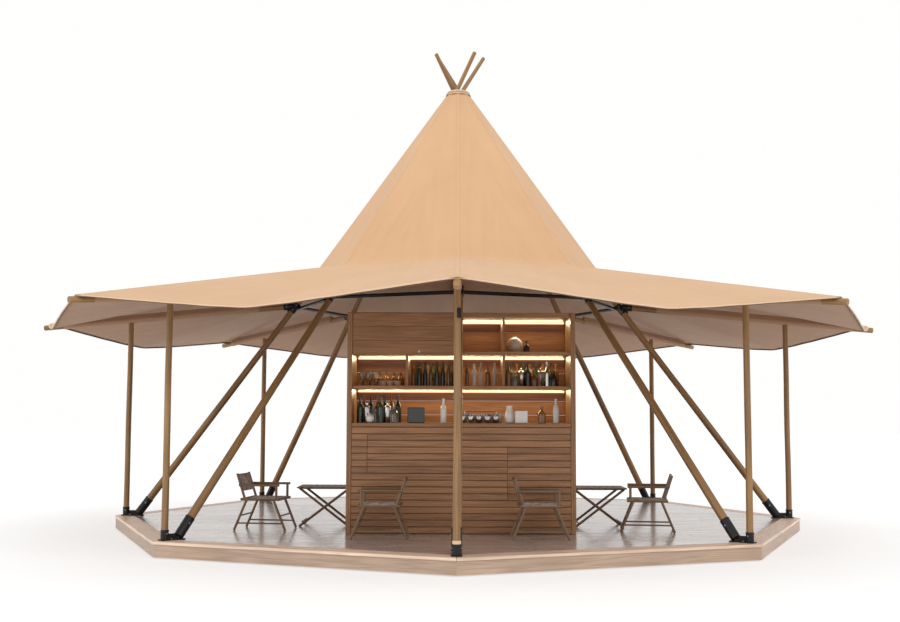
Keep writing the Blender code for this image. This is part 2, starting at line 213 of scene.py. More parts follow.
def lathe(profile: Array, sides: int = 24, closed: bool = False, tone: float = 0.5,
          seed: float = 0.0) -> Surface:
    """A profile of (radius, height) points carried round the upright axis.

    Args:
        profile: the points, from below up on the outer side.
        sides: steps round the axis.
        closed: whether the profile is a loop, as on a hollow ring.
        tone: how light the piece is among its neighbours.
        seed: moves the grain.

    Returns:
        The closed skin: point = (radius cos a, radius sin a, height).
    """
    profile = np.asarray(profile, float)
    count = len(profile)
    turn = np.arange(sides) * 2.0 * math.pi / sides
    points = np.stack([profile[:, :1] * np.cos(turn), profile[:, :1] * np.sin(turn),
                       np.broadcast_to(profile[:, 1:], (count, sides))], axis=-1).reshape(-1, 3)
    faces = [lattice(count, sides, loop_rows=closed)]
    if not closed:
        faces.append(np.stack([np.arange(sides)[::-1], (count - 1) * sides + np.arange(sides)]))
    return Surface(points, faces, points[:, [2, 0, 1]] + seed, [np.full(len(f), tone) for f in faces])


def block_pattern() -> tuple[Array, Array, Array, Array, Array]:
    """The pattern of a block with cut edges: three points at each of its eight corners.

    Returns:
        Corner signs, the axis on which each point is out at full size, then the six
        sides, twelve cut edges and eight cut corners as rows of point numbers.
    """
    signs = np.array([[x, y, z] for x in (-1, 1) for y in (-1, 1) for z in (-1, 1)], float)
    corner = np.repeat(signs, 3, axis=0)
    full = np.tile(np.eye(3), (8, 1))
    shape = corner * (full + (1.0 - full) * 0.8)

    def number(sign: list[int], axis: int) -> int:
        """Point number of a corner's point on an axis."""
        return 3 * (4 * (sign[0] > 0) + 2 * (sign[1] > 0) + (sign[2] > 0)) + axis

    def outward(face: list[int]) -> list[int]:
        """The face, turned over if it points inwards."""
        p = shape[face]
        return face if np.dot(np.cross(p[1] - p[0], p[2] - p[0]), p.mean(axis=0)) > 0 else face[::-1]

    sides, edges = [], []
    for k in range(3):
        second, third = (k + 1) % 3, (k + 2) % 3
        for s in (-1, 1):
            face = []
            for a, b in ((-1, -1), (1, -1), (1, 1), (-1, 1)):
                sign = [0, 0, 0]
                sign[k], sign[second], sign[third] = s, a, b
                face.append(number(sign, k))
            sides.append(outward(face))
            for t in (-1, 1):
                low, high = [0, 0, 0], [0, 0, 0]
                low[k], low[second], low[third] = s, t, -1
                high[k], high[second], high[third] = s, t, 1
                edges.append(outward([number(low, k), number(high, k),
                                      number(high, second), number(low, second)]))
    tips = [outward([3 * c, 3 * c + 1, 3 * c + 2]) for c in range(8)]
    return corner, full, np.array(sides), np.array(edges), np.array(tips)


PATTERN = block_pattern()


def blocks(centre: Array, half: Array, edge: float = 0.002, grain_axis: int = 0, seed: int = 1,
           axes: Array | None = None, tone: Array | None = None) -> Surface:
    """Many blocks with cut edges: point = centre + sign (half, less the cut on two axes).

    Args:
        centre: middle of each block, one a row.
        half: half of each block's size, one a row.
        edge: width of the cut edges.
        grain_axis: the block's own axis that the grain follows.
        seed: seed of the tones and of where the grain starts.
        axes: the blocks' own axes as rows, for one turn of them all or one for each.
        tone: how light each block is, or evenly spread when left out.

    Returns:
        One skin that holds them all.
    """
    corner, full, sides, edges, tips = PATTERN
    centre = np.atleast_2d(np.asarray(centre, float))
    half = np.broadcast_to(np.asarray(half, float), centre.shape)
    count = len(centre)
    draw = np.random.default_rng(seed)
    local = corner[None] * (half[:, None, :] - (1.0 - full)[None] * edge)
    order = [grain_axis, (grain_axis + 1) % 3, (grain_axis + 2) % 3]
    start = draw.uniform(0.0, 40.0, (count, 1, 3))
    grain = (local[..., order] + start).reshape(-1, 3)
    if axes is not None:
        local = np.einsum("npk,nkj->npj", local, np.broadcast_to(axes, (count, 3, 3)))
    points = (local + centre[:, None, :]).reshape(-1, 3)
    shift = (np.arange(count) * len(corner))[:, None, None]
    faces = [(shift + group[None]).reshape(-1, group.shape[1]) for group in (sides, edges, tips)]
    tone = draw.uniform(0.0, 1.0, count) if tone is None else np.broadcast_to(tone, count)
    tones = [np.repeat(tone, len(group)) for group in (sides, edges, tips)]
    return Surface(points, faces, grain, tones)


def box(low: tuple, high: tuple, edge: float = 0.002, grain_axis: int = 0, seed: int = 1,
        tone: float | None = None) -> Surface:
    """One upright block between its lowest and highest corners."""
    low, high = np.asarray(low, float), np.asarray(high, float)
    return blocks((low + high) / 2.0, (high - low) / 2.0, edge, grain_axis, seed, tone=tone)


def prisms(plan: Array, low: float, high: float, edge: float, along: Array, seed: int = 1,
           tone: Array | None = None) -> Surface:
    """Many upright prisms on outlines with the same number of corners, upper edges cut.

    A corner moves in by edge (n1 + n2) / (1 + n1.n2), with n1 and n2 the inward normals
    of the two sides that meet in it.

    Args:
        plan: outlines, counter-clockwise, as (prism, corner, xy).
        low: height of the underside.
        high: height of the top.
        edge: width of the cut edge.
        along: direction of the grain in the plan, for one or for each.
        seed: seed of the tones and of where the grain starts.
        tone: how light each one is, or evenly spread when left out.

    Returns:
        One skin that holds them all.
    """
    count, corners, _ = plan.shape
    draw = np.random.default_rng(seed)
    step = unit(np.roll(plan, -1, axis=1) - plan)
    after = np.stack([-step[..., 1], step[..., 0]], axis=-1)
    before = np.roll(after, 1, axis=1)
    inset = plan + edge * (before + after) / (1.0 + np.sum(before * after, -1, keepdims=True))
    rings = np.stack([inset, plan, plan, inset], axis=1)
    height = np.broadcast_to(np.array([low, low + edge, high - edge, high])[None, :, None, None],
                             (count, 4, corners, 1))
    points = np.concatenate([rings, height], axis=-1)
    along = np.broadcast_to(unit(np.asarray(along, float)), (count, 2))
    run = np.einsum("nrkj,nj->nrk", rings, along)
    side = np.einsum("nrkj,nj->nrk", rings, np.stack([-along[:, 1], along[:, 0]], -1))
    grain = np.stack([run, side, height[..., 0]], -1) + draw.uniform(0.0, 40.0, (count, 1, 1, 3))
    shift = (np.arange(count) * 4 * corners)[:, None, None]
    wall = lattice(4, corners)[None] + shift
    ends = np.stack([np.arange(corners)[::-1], 3 * corners + np.arange(corners)])[None] + shift
    tone = draw.uniform(0.0, 1.0, count) if tone is None else np.broadcast_to(tone, count)
    faces = [wall.reshape(-1, 4), ends.reshape(-1, corners)]
    return Surface(points.reshape(-1, 3), faces, grain.reshape(-1, 3),
                   [np.repeat(tone, wall.shape[1]), np.repeat(tone, 2)])


def make_piece(name: str, parts: list[tuple[Surface, bpy.types.Material]], sharp: float = 35.0
               ) -> bpy.types.Object:
    """Put skins into one mesh object at the origin, each with its own finish.

    Args:
        name: the piece's name.
        parts: each skin with the material that it takes.
        sharp: an edge turned by more than this many degrees stays crisp.

    Returns:
        The object, with its grain on the points and its tones on the faces.
    """
    whole = joined([surface for surface, _ in parts])
    finishes = list(dict.fromkeys(finish for _, finish in parts))
    slots = np.concatenate([np.full(sum(len(f) for f in s.faces), finishes.index(m)) for s, m in parts])
    mesh = bpy.data.meshes.new(name)
    mesh.vertices.add(len(whole.points))
    mesh.vertices.foreach_set("co", whole.points.astype(np.float32).ravel())
    corners = np.concatenate([f.ravel() for f in whole.faces]).astype(np.int32)
    sizes = np.concatenate([np.full(len(f), f.shape[1]) for f in whole.faces])
    mesh.loops.add(len(corners))
    mesh.loops.foreach_set("vertex_index", corners)
    mesh.polygons.add(len(sizes))
    mesh.polygons.foreach_set("loop_start", np.concatenate([[0], np.cumsum(sizes)[:-1]]).astype(np.int32))
    for finish in finishes:
        mesh.materials.append(finish)
    mesh.update(calc_edges=True)
    mesh.polygons.foreach_set("material_index", slots.astype(np.int32))
    grain = mesh.attributes.new("grain", "FLOAT_VECTOR", "POINT")
    grain.data.foreach_set("vector", whole.grain.astype(np.float32).ravel())
    tone = mesh.attributes.new("tone", "FLOAT", "FACE")
    tone.data.foreach_set("value", np.concatenate(whole.tones).astype(np.float32))
    mesh.shade_smooth()
    mesh.set_sharp_from_angle(angle=math.radians(sharp))
    piece = bpy.data.objects.new(name, mesh)
    bpy.context.scene.collection.objects.link(piece)
    return piece


def install(piece: bpy.types.Object, slot: str, *nodes: str) -> bpy.types.Object:
    """Let a piece ride on the frame and stand for the nodes named, which are hidden."""
    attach(piece, ROOT)
    if nodes:
        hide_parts(*nodes)
    log.info("%s: %d faces", piece.name, len(piece.data.polygons))
    return piece


# finishes

class Graph:
    """Builds a material's nodes; a value may be a number, a colour or another socket."""

    def __init__(self, name: str) -> None:
        """Start an empty material."""
        self.material = bpy.data.materials.new(name)
        self.material.use_nodes = True
        self.nodes = self.material.node_tree.nodes
        self.links = self.material.node_tree.links
        self.shader = self.nodes["Principled BSDF"]

    def put(self, socket: bpy.types.NodeSocket, value: object) -> None:
        """Link a socket to another, or set its own value."""
        if isinstance(value, bpy.types.NodeSocket):
            self.links.new(value, socket)
        elif isinstance(value, tuple) and len(value) == 3 and socket.type == "RGBA":
            socket.default_value = (*value, 1.0)
        else:
            socket.default_value = value

    def node(self, kind: str, values: dict[str | int, object], out: str | int = 0, **settings: object
             ) -> bpy.types.NodeSocket:
        """Add a node and give back one of its outputs.

        Args:
            kind: Blender's type of node.
            values: what goes into its inputs, by name or place.
            out: the output to give back, by name or place.
            settings: the node's own settings.

        Returns:
            The output socket.
        """
        node = self.nodes.new(kind)
        for key, value in settings.items():
            setattr(node, key, value)
        for key, value in values.items():
            self.put(node.inputs[key], value)
        return node.outputs[out]

    def grain(self) -> bpy.types.NodeSocket:
        """The grain vector that a piece carries on its points."""
        return self.node("ShaderNodeAttribute", {}, "Vector", attribute_name="grain")

    def tone(self) -> bpy.types.NodeSocket:
        """The tone that a piece carries on its faces."""
        return self.node("ShaderNodeAttribute", {}, "Fac", attribute_name="tone")

    def place(self) -> bpy.types.NodeSocket:
        """The place on the object, in metres."""
        return self.node("ShaderNodeTexCoord", {}, "Object")

    def scaled(self, vector: bpy.types.NodeSocket, scale: Colour) -> bpy.types.NodeSocket:
        """A vector stretched by a Mapping node."""
        return self.node("ShaderNodeMapping", {"Vector": vector, "Scale": scale})

    def noise(self, vector: bpy.types.NodeSocket, scale: float, detail: float = 4.0,
              rough: float = 0.55, warp: float = 0.0) -> bpy.types.NodeSocket:
        """Cloudy noise between 0 and 1."""
        return self.node("ShaderNodeTexNoise", {"Vector": vector, "Scale": scale, "Detail": detail,
                                                "Roughness": rough, "Distortion": warp})

    def math(self, operation: str, a: object, b: object = 0.0, c: object = 0.0, clamp: bool = False
             ) -> bpy.types.NodeSocket:
        """One step of arithmetic."""
        return self.node("ShaderNodeMath", {0: a, 1: b, 2: c}, operation=operation, use_clamp=clamp)

    def span(self, value: object, low: float, high: float, to_low: float = 0.0, to_high: float = 1.0
             ) -> bpy.types.NodeSocket:
        """A value carried from one range into another, and kept inside it."""
        return self.node("ShaderNodeMapRange", {"Value": value, "From Min": low, "From Max": high,
                                                "To Min": to_low, "To Max": to_high})

    def mix(self, share: object, a: object, b: object, blend: str = "MIX") -> bpy.types.NodeSocket:
        """Two colours mixed."""
        node = self.nodes.new("ShaderNodeMix")
        node.data_type = "RGBA"
        node.blend_type = blend
        self.put(node.inputs[0], share)
        self.put(node.inputs[6], a)
        self.put(node.inputs[7], b)
        return node.outputs[2]

    def bump(self, height: object, strength: float, distance: float, under: object = None
             ) -> bpy.types.NodeSocket:
        """A normal that a height map tilts, over another one when it is given."""
        values = {"Height": height, "Strength": strength, "Distance": distance}
        if under is not None:
            values["Normal"] = under
        return self.node("ShaderNodeBump", values)

    def finish(self, **values: object) -> bpy.types.Material:
        """Fill the shader's sockets, named with _ for each space."""
        for key, value in values.items():
            self.put(self.shader.inputs[key.replace("_", " ")], value)
        return self.material


@dataclass(frozen=True)
class Wood:
    """Planed or peeled timber: growth lines are level lines of a noise drawn out along the grain."""

    name: str
    dark: Colour
    light: Colour
    rough: float = 0.5
    lines: float = 9.0
    line_depth: float = 0.5
    spread: float = 0.22
    fibre: float = 0.35
    relief: float = 0.0006
    smudge: float = 0.15
    coat: float = 0.0
    across: float = 14.0

    def build(self) -> bpy.types.Material:
        """The material, from its growth lines, fibres, smudges and each board's tone."""
        g = Graph(self.name)
        grain = g.grain()
        field_ = g.noise(g.scaled(grain, (0.5, self.across, self.across)), 1.0, 2.0, 0.5, 0.3)
        level = g.math("PINGPONG", g.math("MULTIPLY", field_, self.lines), 0.5)
        growth = g.span(level, 0.0, 0.5)
        fibre = g.noise(g.scaled(grain, (7.0, 420.0, 420.0)), 1.0, 3.0, 0.6)
        cloud = g.noise(g.scaled(grain, (1.1, 4.0, 4.0)), 1.0, 4.0, 0.6)
        share = g.math("MULTIPLY_ADD", growth, self.line_depth, 0.5 - 0.5 * self.line_depth)
        share = g.math("ADD", share, g.math("MULTIPLY", g.math("SUBTRACT", fibre, 0.5), self.fibre))
        share = g.math("ADD", share, g.math("MULTIPLY", g.math("SUBTRACT", g.tone(), 0.5), self.spread),
                       clamp=True)
        colour = g.mix(share, self.dark, self.light)
        shade = g.span(cloud, 0.35, 0.7, 1.0 - self.smudge, 1.0 + self.smudge * 0.5)
        colour = g.mix(1.0, colour, g.node("ShaderNodeCombineColor", {0: shade, 1: shade, 2: shade}), "MULTIPLY")
        rough = g.math("MULTIPLY_ADD", fibre, 0.18, self.rough - 0.09)
        rough = g.math("ADD", rough, g.span(cloud, 0.3, 0.7, -0.04, 0.06))
        relief = g.math("ADD", g.math("MULTIPLY", fibre, 0.6), g.math("MULTIPLY", growth, 0.4))
        return g.finish(Base_Color=colour, Roughness=rough, Coat_Weight=self.coat, Coat_Roughness=0.12,
                        Normal=g.bump(relief, 0.5, self.relief))


@dataclass(frozen=True)
class Canvas:
    """Proofed cotton canvas: a plain weave, soft blotches and slack that the light picks out."""

    name: str
    light: Colour
    dark: Colour
    rough: float = 0.85
    slack: float = 0.010
    stitched: bool = False
    thread: Colour = (0.42, 0.29, 0.18)
    blotch: float = 1.3
    fleck: float = 0.0

    def build(self) -> bpy.types.Material:
        """The material; the weave runs across and along the cloth on the grain vector."""
        g = Graph(self.name)
        place, grain = g.place(), g.grain()
        blotch = g.noise(place, self.blotch, 5.0, 0.6)
        streak = g.noise(g.scaled(grain, (9.0, 0.7, 1.0)), 1.0, 4.0, 0.6)
        slub = g.noise(g.scaled(grain, (60.0, 900.0, 1.0)), 1.0, 2.0, 0.6)
        share = g.math("MULTIPLY_ADD", blotch, 0.5 + 0.35 * self.fleck,
                       g.math("MULTIPLY", streak, 0.35 * (1.0 - self.fleck)))
        share = g.span(g.math("MULTIPLY_ADD", slub, 0.15, share), 0.36, 0.66)
        colour = g.mix(share, self.dark, self.light)
        parts = g.node("ShaderNodeSeparateXYZ", {0: grain}, 0)
        across, along = parts, parts.node.outputs[1]
        wave = 2.0 * math.pi / 0.0016
        warp = g.math("SINE", g.math("MULTIPLY", across, wave))
        weft = g.math("SINE", g.math("MULTIPLY", along, wave))
        weave = g.math("MULTIPLY", warp, weft)
        if self.stitched:
            row = g.math("ABSOLUTE", g.math("SUBTRACT", g.math("ABSOLUTE", across), 0.019))
            near = g.math("LESS_THAN", row, 0.0011)
            dash = g.math("GREATER_THAN", g.math("SINE", g.math("MULTIPLY", along, 2.0 * math.pi / 0.007)), -0.3)
            colour = g.mix(g.math("MULTIPLY", near, dash), colour, self.thread)
        soft = g.noise(g.scaled(place, (1.0, 1.0, 1.0)), 3.2, 3.0, 0.5, 0.6)
        base = g.bump(soft, 0.35, self.slack)
        return g.finish(Base_Color=colour, Roughness=self.rough, Sheen_Weight=0.12, Sheen_Roughness=0.5,
                        Specular_IOR_Level=0.25, Normal=g.bump(weave, 0.25, 0.0004, base))


@dataclass(frozen=True)
class Steel:
    """Powder-coated steel: a fine orange skin, with cloudy patches of dust that are lighter and rougher."""

    name: str
    colour: Colour = (0.006, 0.006, 0.0065)
    rough: float = 0.42
    metal: float = 0.0

    def build(self) -> bpy.types.Material:
        """The material, on the place of each point."""
        g = Graph(self.name)
        skin = g.noise(g.place(), 900.0, 2.0, 0.5)
        dust = g.noise(g.place(), 14.0, 5.0, 0.65)
        colour = g.mix(g.span(dust, 0.45, 0.75, 0.0, 0.35), self.colour,
                       tuple(min(1.0, c * 1.8 + 0.004) for c in self.colour))
        rough = g.span(dust, 0.3, 0.7, self.rough - 0.06, self.rough + 0.12)
        return g.finish(Base_Color=colour, Roughness=rough, Metallic=self.metal, Specular_IOR_Level=0.35,
                        Normal=g.bump(skin, 0.25, 0.0003))


@dataclass(frozen=True)
class Glaze:
    """Glass, glazed ware or metal of the bar: a clear coat over a colour that clouds a little."""

    name: str
    colour: Colour
    rough: float = 0.12
    metal: float = 0.0
    clear: float = 0.0

    def build(self) -> bpy.types.Material:
        """The material, on the place of each point and each piece's tone."""
        g = Graph(self.name)
        cloud = g.noise(g.place(), 30.0, 3.0, 0.5)
        share = g.math("ADD", g.math("MULTIPLY", g.tone(), 0.75), g.math("MULTIPLY", cloud, 0.25))
        colour = g.mix(share, tuple(c * 0.45 for c in self.colour), self.colour)
        rough = g.span(cloud, 0.3, 0.7, self.rough * 0.7, self.rough * 1.5)
        return g.finish(Base_Color=colour, Roughness=rough, Metallic=self.metal,
                        Transmission_Weight=self.clear, Coat_Weight=0.4, Coat_Roughness=0.06)


@dataclass(frozen=True)
class Lamp:
    """A warm light strip behind a frosted cover."""

    name: str
    colour: Colour
    strength: float

    def build(self) -> bpy.types.Material:
        """The material: an even glow, a little dimmer between the diodes."""
        g = Graph(self.name)
        band = g.noise(g.scaled(g.place(), (9.0, 1.0, 1.0)), 1.0, 1.0, 0.4)
        colour = g.mix(g.span(band, 0.3, 0.7), tuple(c * 0.9 for c in self.colour), self.colour)
        return g.finish(Base_Color=(0.30, 0.19, 0.10), Roughness=0.6, Emission_Color=colour,
                        Emission_Strength=self.strength)


@dataclass
class Finishes:
    """Every finish of the pavilion, made once."""

    floor: bpy.types.Material = field(default_factory=Wood(
        "floor_oak", (0.33, 0.262, 0.230), (0.56, 0.462, 0.412), 0.20, 7.0, 0.45, 0.4, 0.3, 0.0002, 0.08,
        coat=0.3).build)
    trim: bpy.types.Material = field(default_factory=Wood(
        "deck_trim", (0.57, 0.41, 0.30), (0.90, 0.69, 0.53), 0.42, 8.0, 0.5, 0.3, 0.3, 0.0004).build)
    fascia: bpy.types.Material = field(default_factory=Wood(
        "deck_fascia_wood", (0.315, 0.213, 0.149), (0.52, 0.375, 0.272), 0.42, 8.0, 0.5, 0.3, 0.3, 0.0004).build)
    pole: bpy.types.Material = field(default_factory=Wood(
        "peeled_pole", (0.17, 0.084, 0.025), (0.41, 0.233, 0.092), 0.5, 5.0, 0.4, 0.25, 0.5, 0.0008,
        0.28, across=20.0).build)
    slat: bpy.types.Material = field(default_factory=Wood(
        "bar_slat", (0.185, 0.082, 0.033), (0.43, 0.212, 0.092), 0.42, 8.0, 0.5, 0.3, 0.35).build)
    shelf: bpy.types.Material = field(default_factory=Wood(
        "bar_shelf", (0.185, 0.079, 0.030), (0.415, 0.196, 0.079), 0.45, 8.0, 0.45, 0.3, 0.3).build)
    frame: bpy.types.Material = field(default_factory=Wood(
        "bar_frame", (0.18, 0.081, 0.031), (0.38, 0.198, 0.084), 0.42, 8.0, 0.45, 0.25, 0.3).build)
    camp: bpy.types.Material = field(default_factory=Wood(
        "camp_stick", (0.10, 0.055, 0.028), (0.25, 0.15, 0.08), 0.45, 6.0, 0.4, 0.35, 0.4,
        across=40.0).build)
    canvas: bpy.types.Material = field(default_factory=Canvas(
        "canvas_outer", (0.64, 0.405, 0.230), (0.585, 0.357, 0.197), stitched=True).build)
    # Inner face and rafter sleeves, darker and greyer than the outer canvas: mostly painted shade under the cover, a
    # little a greyer cloth.
    painted_shade_lining: bpy.types.Material = field(default_factory=Canvas(
        "canvas_inner_painted_shade", (0.435, 0.268, 0.172), (0.365, 0.220, 0.138)).build)
    # Pale band of the hem, cuff and post collar, lighter than the canvas: partly a paler cloth, partly painted
    # highlight on the lit hem edge.
    binding_and_highlight: bpy.types.Material = field(default_factory=Canvas(
        "hem_binding_and_highlight", (0.72, 0.53, 0.36), (0.64, 0.45, 0.29), slack=0.001).build)
    # A dark tube under the hem: painted shadow beneath the brim's edge.
    painted_hem_shadow: bpy.types.Material = field(default_factory=Canvas(
        "hem_painted_shadow", (0.16, 0.10, 0.065), (0.12, 0.075, 0.05), slack=0.001).build)
    sling: bpy.types.Material = field(default_factory=Canvas(
        "camp_cloth", (0.68, 0.61, 0.54), (0.15, 0.115, 0.095), slack=0.003, blotch=17.0, fleck=0.9).build)
    rope: bpy.types.Material = field(default_factory=Canvas(
        "lashing_rope", (0.62, 0.50, 0.34), (0.42, 0.32, 0.20), slack=0.002).build)
    steel: bpy.types.Material = field(default_factory=Steel("black_coat").build)
    bolt: bpy.types.Material = field(default_factory=Steel("bolt_zinc", (0.30, 0.30, 0.31), 0.3, 1.0).build)
    silver: bpy.types.Material = field(default_factory=Glaze("bar_steel", (0.62, 0.60, 0.57), 0.16, 1.0).build)
    white: bpy.types.Material = field(default_factory=Glaze("white_ware", (0.80, 0.77, 0.72), 0.18).build)
    black: bpy.types.Material = field(default_factory=Glaze("black_ware", (0.03, 0.028, 0.026), 0.2).build)
    glass: bpy.types.Material = field(default_factory=Glaze("clear_glass", (0.85, 0.86, 0.84), 0.06, clear=0.85).build)
    amber: bpy.types.Material = field(default_factory=Glaze("amber_glass", (0.42, 0.19, 0.05), 0.08, clear=0.5).build)
    green: bpy.types.Material = field(default_factory=Glaze("green_glass", (0.07, 0.11, 0.05), 0.08, clear=0.4).build)
    glow: bpy.types.Material = field(default_factory=Lamp("light_strip", (1.0, 0.66, 0.42), 1.9).build)


# the frame's own lines

def spot(radius: Array | float, z: Array | float, aside: Array | float = 0.0) -> Array:
    """Points of the front bay, by their distance from the middle."""
    return np.stack(np.broadcast_arrays(np.asarray(aside, float), -np.asarray(radius, float),
                                        np.asarray(z, float)), axis=-1)


@dataclass(frozen=True)
class PoleLine:
    """The straight line of a leaning pole: foot, crossing point and taper."""

    foot_at: float = 3.70
    foot_z: float = DECK_H + 0.060
    cross_z: float = DECK_H + 5.03
    aside: float = 0.045
    foot_r: float = 0.042
    cross_r: float = 0.0275

    def share(self, z: Array | float) -> Array:
        """How far up the pole a height is, 0 at the foot and 1 at the crossing."""
        return (np.asarray(z, float) - self.foot_z) / (self.cross_z - self.foot_z)

    def at(self, z: Array | float) -> Array:
        """Centre of the front bay's pole at a height."""
        return spot(self.foot_at * (1.0 - self.share(z)), z, self.aside * self.share(z))

    def radius(self, z: Array | float) -> Array:
        """Radius of the pole at a height."""
        return self.foot_r + (self.cross_r - self.foot_r) * self.share(z)

    def along(self) -> Array:
        """Direction of the pole, upwards."""
        return unit(self.at(self.cross_z) - self.at(self.foot_z))


@dataclass(frozen=True)
class RafterLine:
    """The straight line of a rafter, which falls a little on its way out."""

    inner: float = 2.000
    outer: float = 4.90
    z: float = DECK_H + 2.455
    fall: float = 0.0908
    inner_r: float = 0.035
    outer_r: float = 0.031

    def at(self, radius: Array | float) -> Array:
        """Centre of the front bay's rafter at a distance from the middle."""
        return spot(radius, self.z - (np.asarray(radius, float) - self.inner) * self.fall)

    def radius(self, radius: Array | float) -> Array:
        """Radius of the rafter at a distance from the middle."""
        share = (np.asarray(radius, float) - self.inner) / (self.outer - self.inner)
        return self.inner_r + (self.outer_r - self.inner_r) * share


POLE = PoleLine()
RAFTER = RafterLine()


def around(part: Surface, bay: int) -> Surface:
    """A skin of the front bay, carried round to another bay."""
    return part.turned(bay * BAY_ANGLE)


def sloped(origin: Array, up: Array) -> tuple[Array, Array]:
    """Axes of a piece whose own z follows a direction, as rows, and its origin."""
    up = unit(up)
    side = unit(np.cross(up, np.array([0.0, 1.0, 0.0])) if abs(up[1]) < 0.9 else np.cross(up, np.array([1.0, 0, 0])))
    return np.stack([side, np.cross(up, side), up]), np.asarray(origin, float)


# deck

@dataclass
class Deck:
    """Boarded octagonal floor with a mitred border, fascia boards and joists."""

    finishes: Finishes
    border: float = 0.205
    board_gap: float = 0.003
    board_t: float = 0.028
    nosing: float = 0.010
    fascia_t: float = 0.024
    fascia_low: float = 0.010
    ply_t: float = 0.018

    def reach(self, radius: float, y: Array) -> Array:
        """Half width of an octagon at y: R - 0.414 y near the middle, (R - y) / 0.414 beyond."""
        slant = math.sqrt(2.0) - 1.0
        y = np.abs(y)
        return np.where(y <= radius / math.sqrt(2.0), radius - slant * y, (radius - y) / slant)

    def ring(self, radius: float) -> Array:
        """Corners of an octagon, from the front counter-clockwise."""
        turn = np.arange(BAYS) * BAY_ANGLE
        return radius * np.stack([np.sin(turn), -np.cos(turn)], axis=-1)

    def floor(self) -> Surface:
        """Boards along X, in rows that end on the octagon's corners, with staggered joints."""
        radius = DECK_R - self.border / CORNER - self.board_gap
        bend = radius / math.sqrt(2.0)
        rows = np.concatenate([np.linspace(-radius, -bend, 7), np.linspace(-bend, bend, 31)[1:-1],
                               np.linspace(bend, radius, 7)])
        draw = np.random.default_rng(5)
        plans = []
        for low, high in zip(rows[:-1], rows[1:]):
            low, high = low + self.board_gap / 2.0, high - self.board_gap / 2.0
            span_low, span_high = (float(self.reach(radius, np.array(y))) for y in (low, high))
            inside = min(span_low, span_high) - 0.12
            cuts = np.arange(-radius + draw.uniform(0.3, 2.0), radius, 2.05)
            cuts = cuts[np.abs(cuts) < inside - 0.25]
            left = [(-span_low, -span_high)] + [(c + self.board_gap / 2.0,) * 2 for c in cuts]
            right = [(c - self.board_gap / 2.0,) * 2 for c in cuts] + [(span_low, span_high)]
            plans += [[(a[0], low), (b[0], low), (b[1], high), (a[1], high)] for a, b in zip(left, right)]
        return prisms(np.array(plans), DECK_H - self.board_t, DECK_H, 0.0016, np.array([1.0, 0.0]), 11)

    def trim(self) -> Surface:
        """Mitred border boards flush with the floor, nosed over the fascia."""
        outer, inner = self.ring(DECK_R), self.ring(DECK_R - self.border / CORNER)
        gap = self.board_gap / 2.0
        along = unit(np.roll(outer, -1, axis=0) - outer)
        plan = np.stack([outer + along * gap, np.roll(outer, -1, axis=0) - along * gap,
                         np.roll(inner, -1, axis=0) - along * gap, inner + along * gap], axis=1)
        return prisms(plan, DECK_H - self.board_t, DECK_H, 0.004, along, 12)

    def fascia(self) -> Surface:
        """One board high all round, mitred at the corners, clear of the ground."""
        outer = self.ring(DECK_R - self.nosing)
        inner = self.ring(DECK_R - self.nosing - self.fascia_t / CORNER)
        along = unit(np.roll(outer, -1, axis=0) - outer)
        plan = np.stack([outer, np.roll(outer, -1, axis=0), np.roll(inner, -1, axis=0), inner], axis=1)
        return prisms(plan, self.fascia_low, DECK_H - self.board_t - 0.001, 0.002, along, 13)

    def under(self) -> Surface:
        """Joists every 0.5 m and the panel that the boards lie on."""
        y = np.arange(-3.5, 3.51, 0.5)
        half = self.reach(DECK_R - 0.09, y) - 0.02
        low, high = 0.0, DECK_H - self.board_t - self.ply_t - 0.0005
        centre = np.stack([np.zeros_like(y), y, np.full_like(y, (low + high) / 2.0)], axis=-1)
        size = np.stack([half, np.full_like(y, 0.024), np.full_like(y, (high - low) / 2.0)], axis=-1)
        panel = prisms(self.ring(DECK_R - 0.06)[None], high + 0.0003, high + self.ply_t, 0.001,
                       np.array([1.0, 0.0]), 14)
        return joined([blocks(centre, size, 0.002, 0, 15), panel])

    def build(self) -> list[bpy.types.Object]:
        """The deck's pieces: floor, border, fascia and what is under them."""
        f = self.finishes
        return [
            install(make_piece("deck_boards", [(self.floor(), f.floor)]), "floor_board", "deck_floor"),
            install(make_piece("deck_border", [(self.trim(), f.trim)]), "deck_wood", "deck_edge"),
            install(make_piece("deck_fascia", [(self.fascia(), f.fascia)]), "deck_wood", "deck_edge"),
            install(make_piece("deck_joists", [(self.under(), f.trim)]), "deck_wood", "deck_floor"),
        ]


# steel and round timber

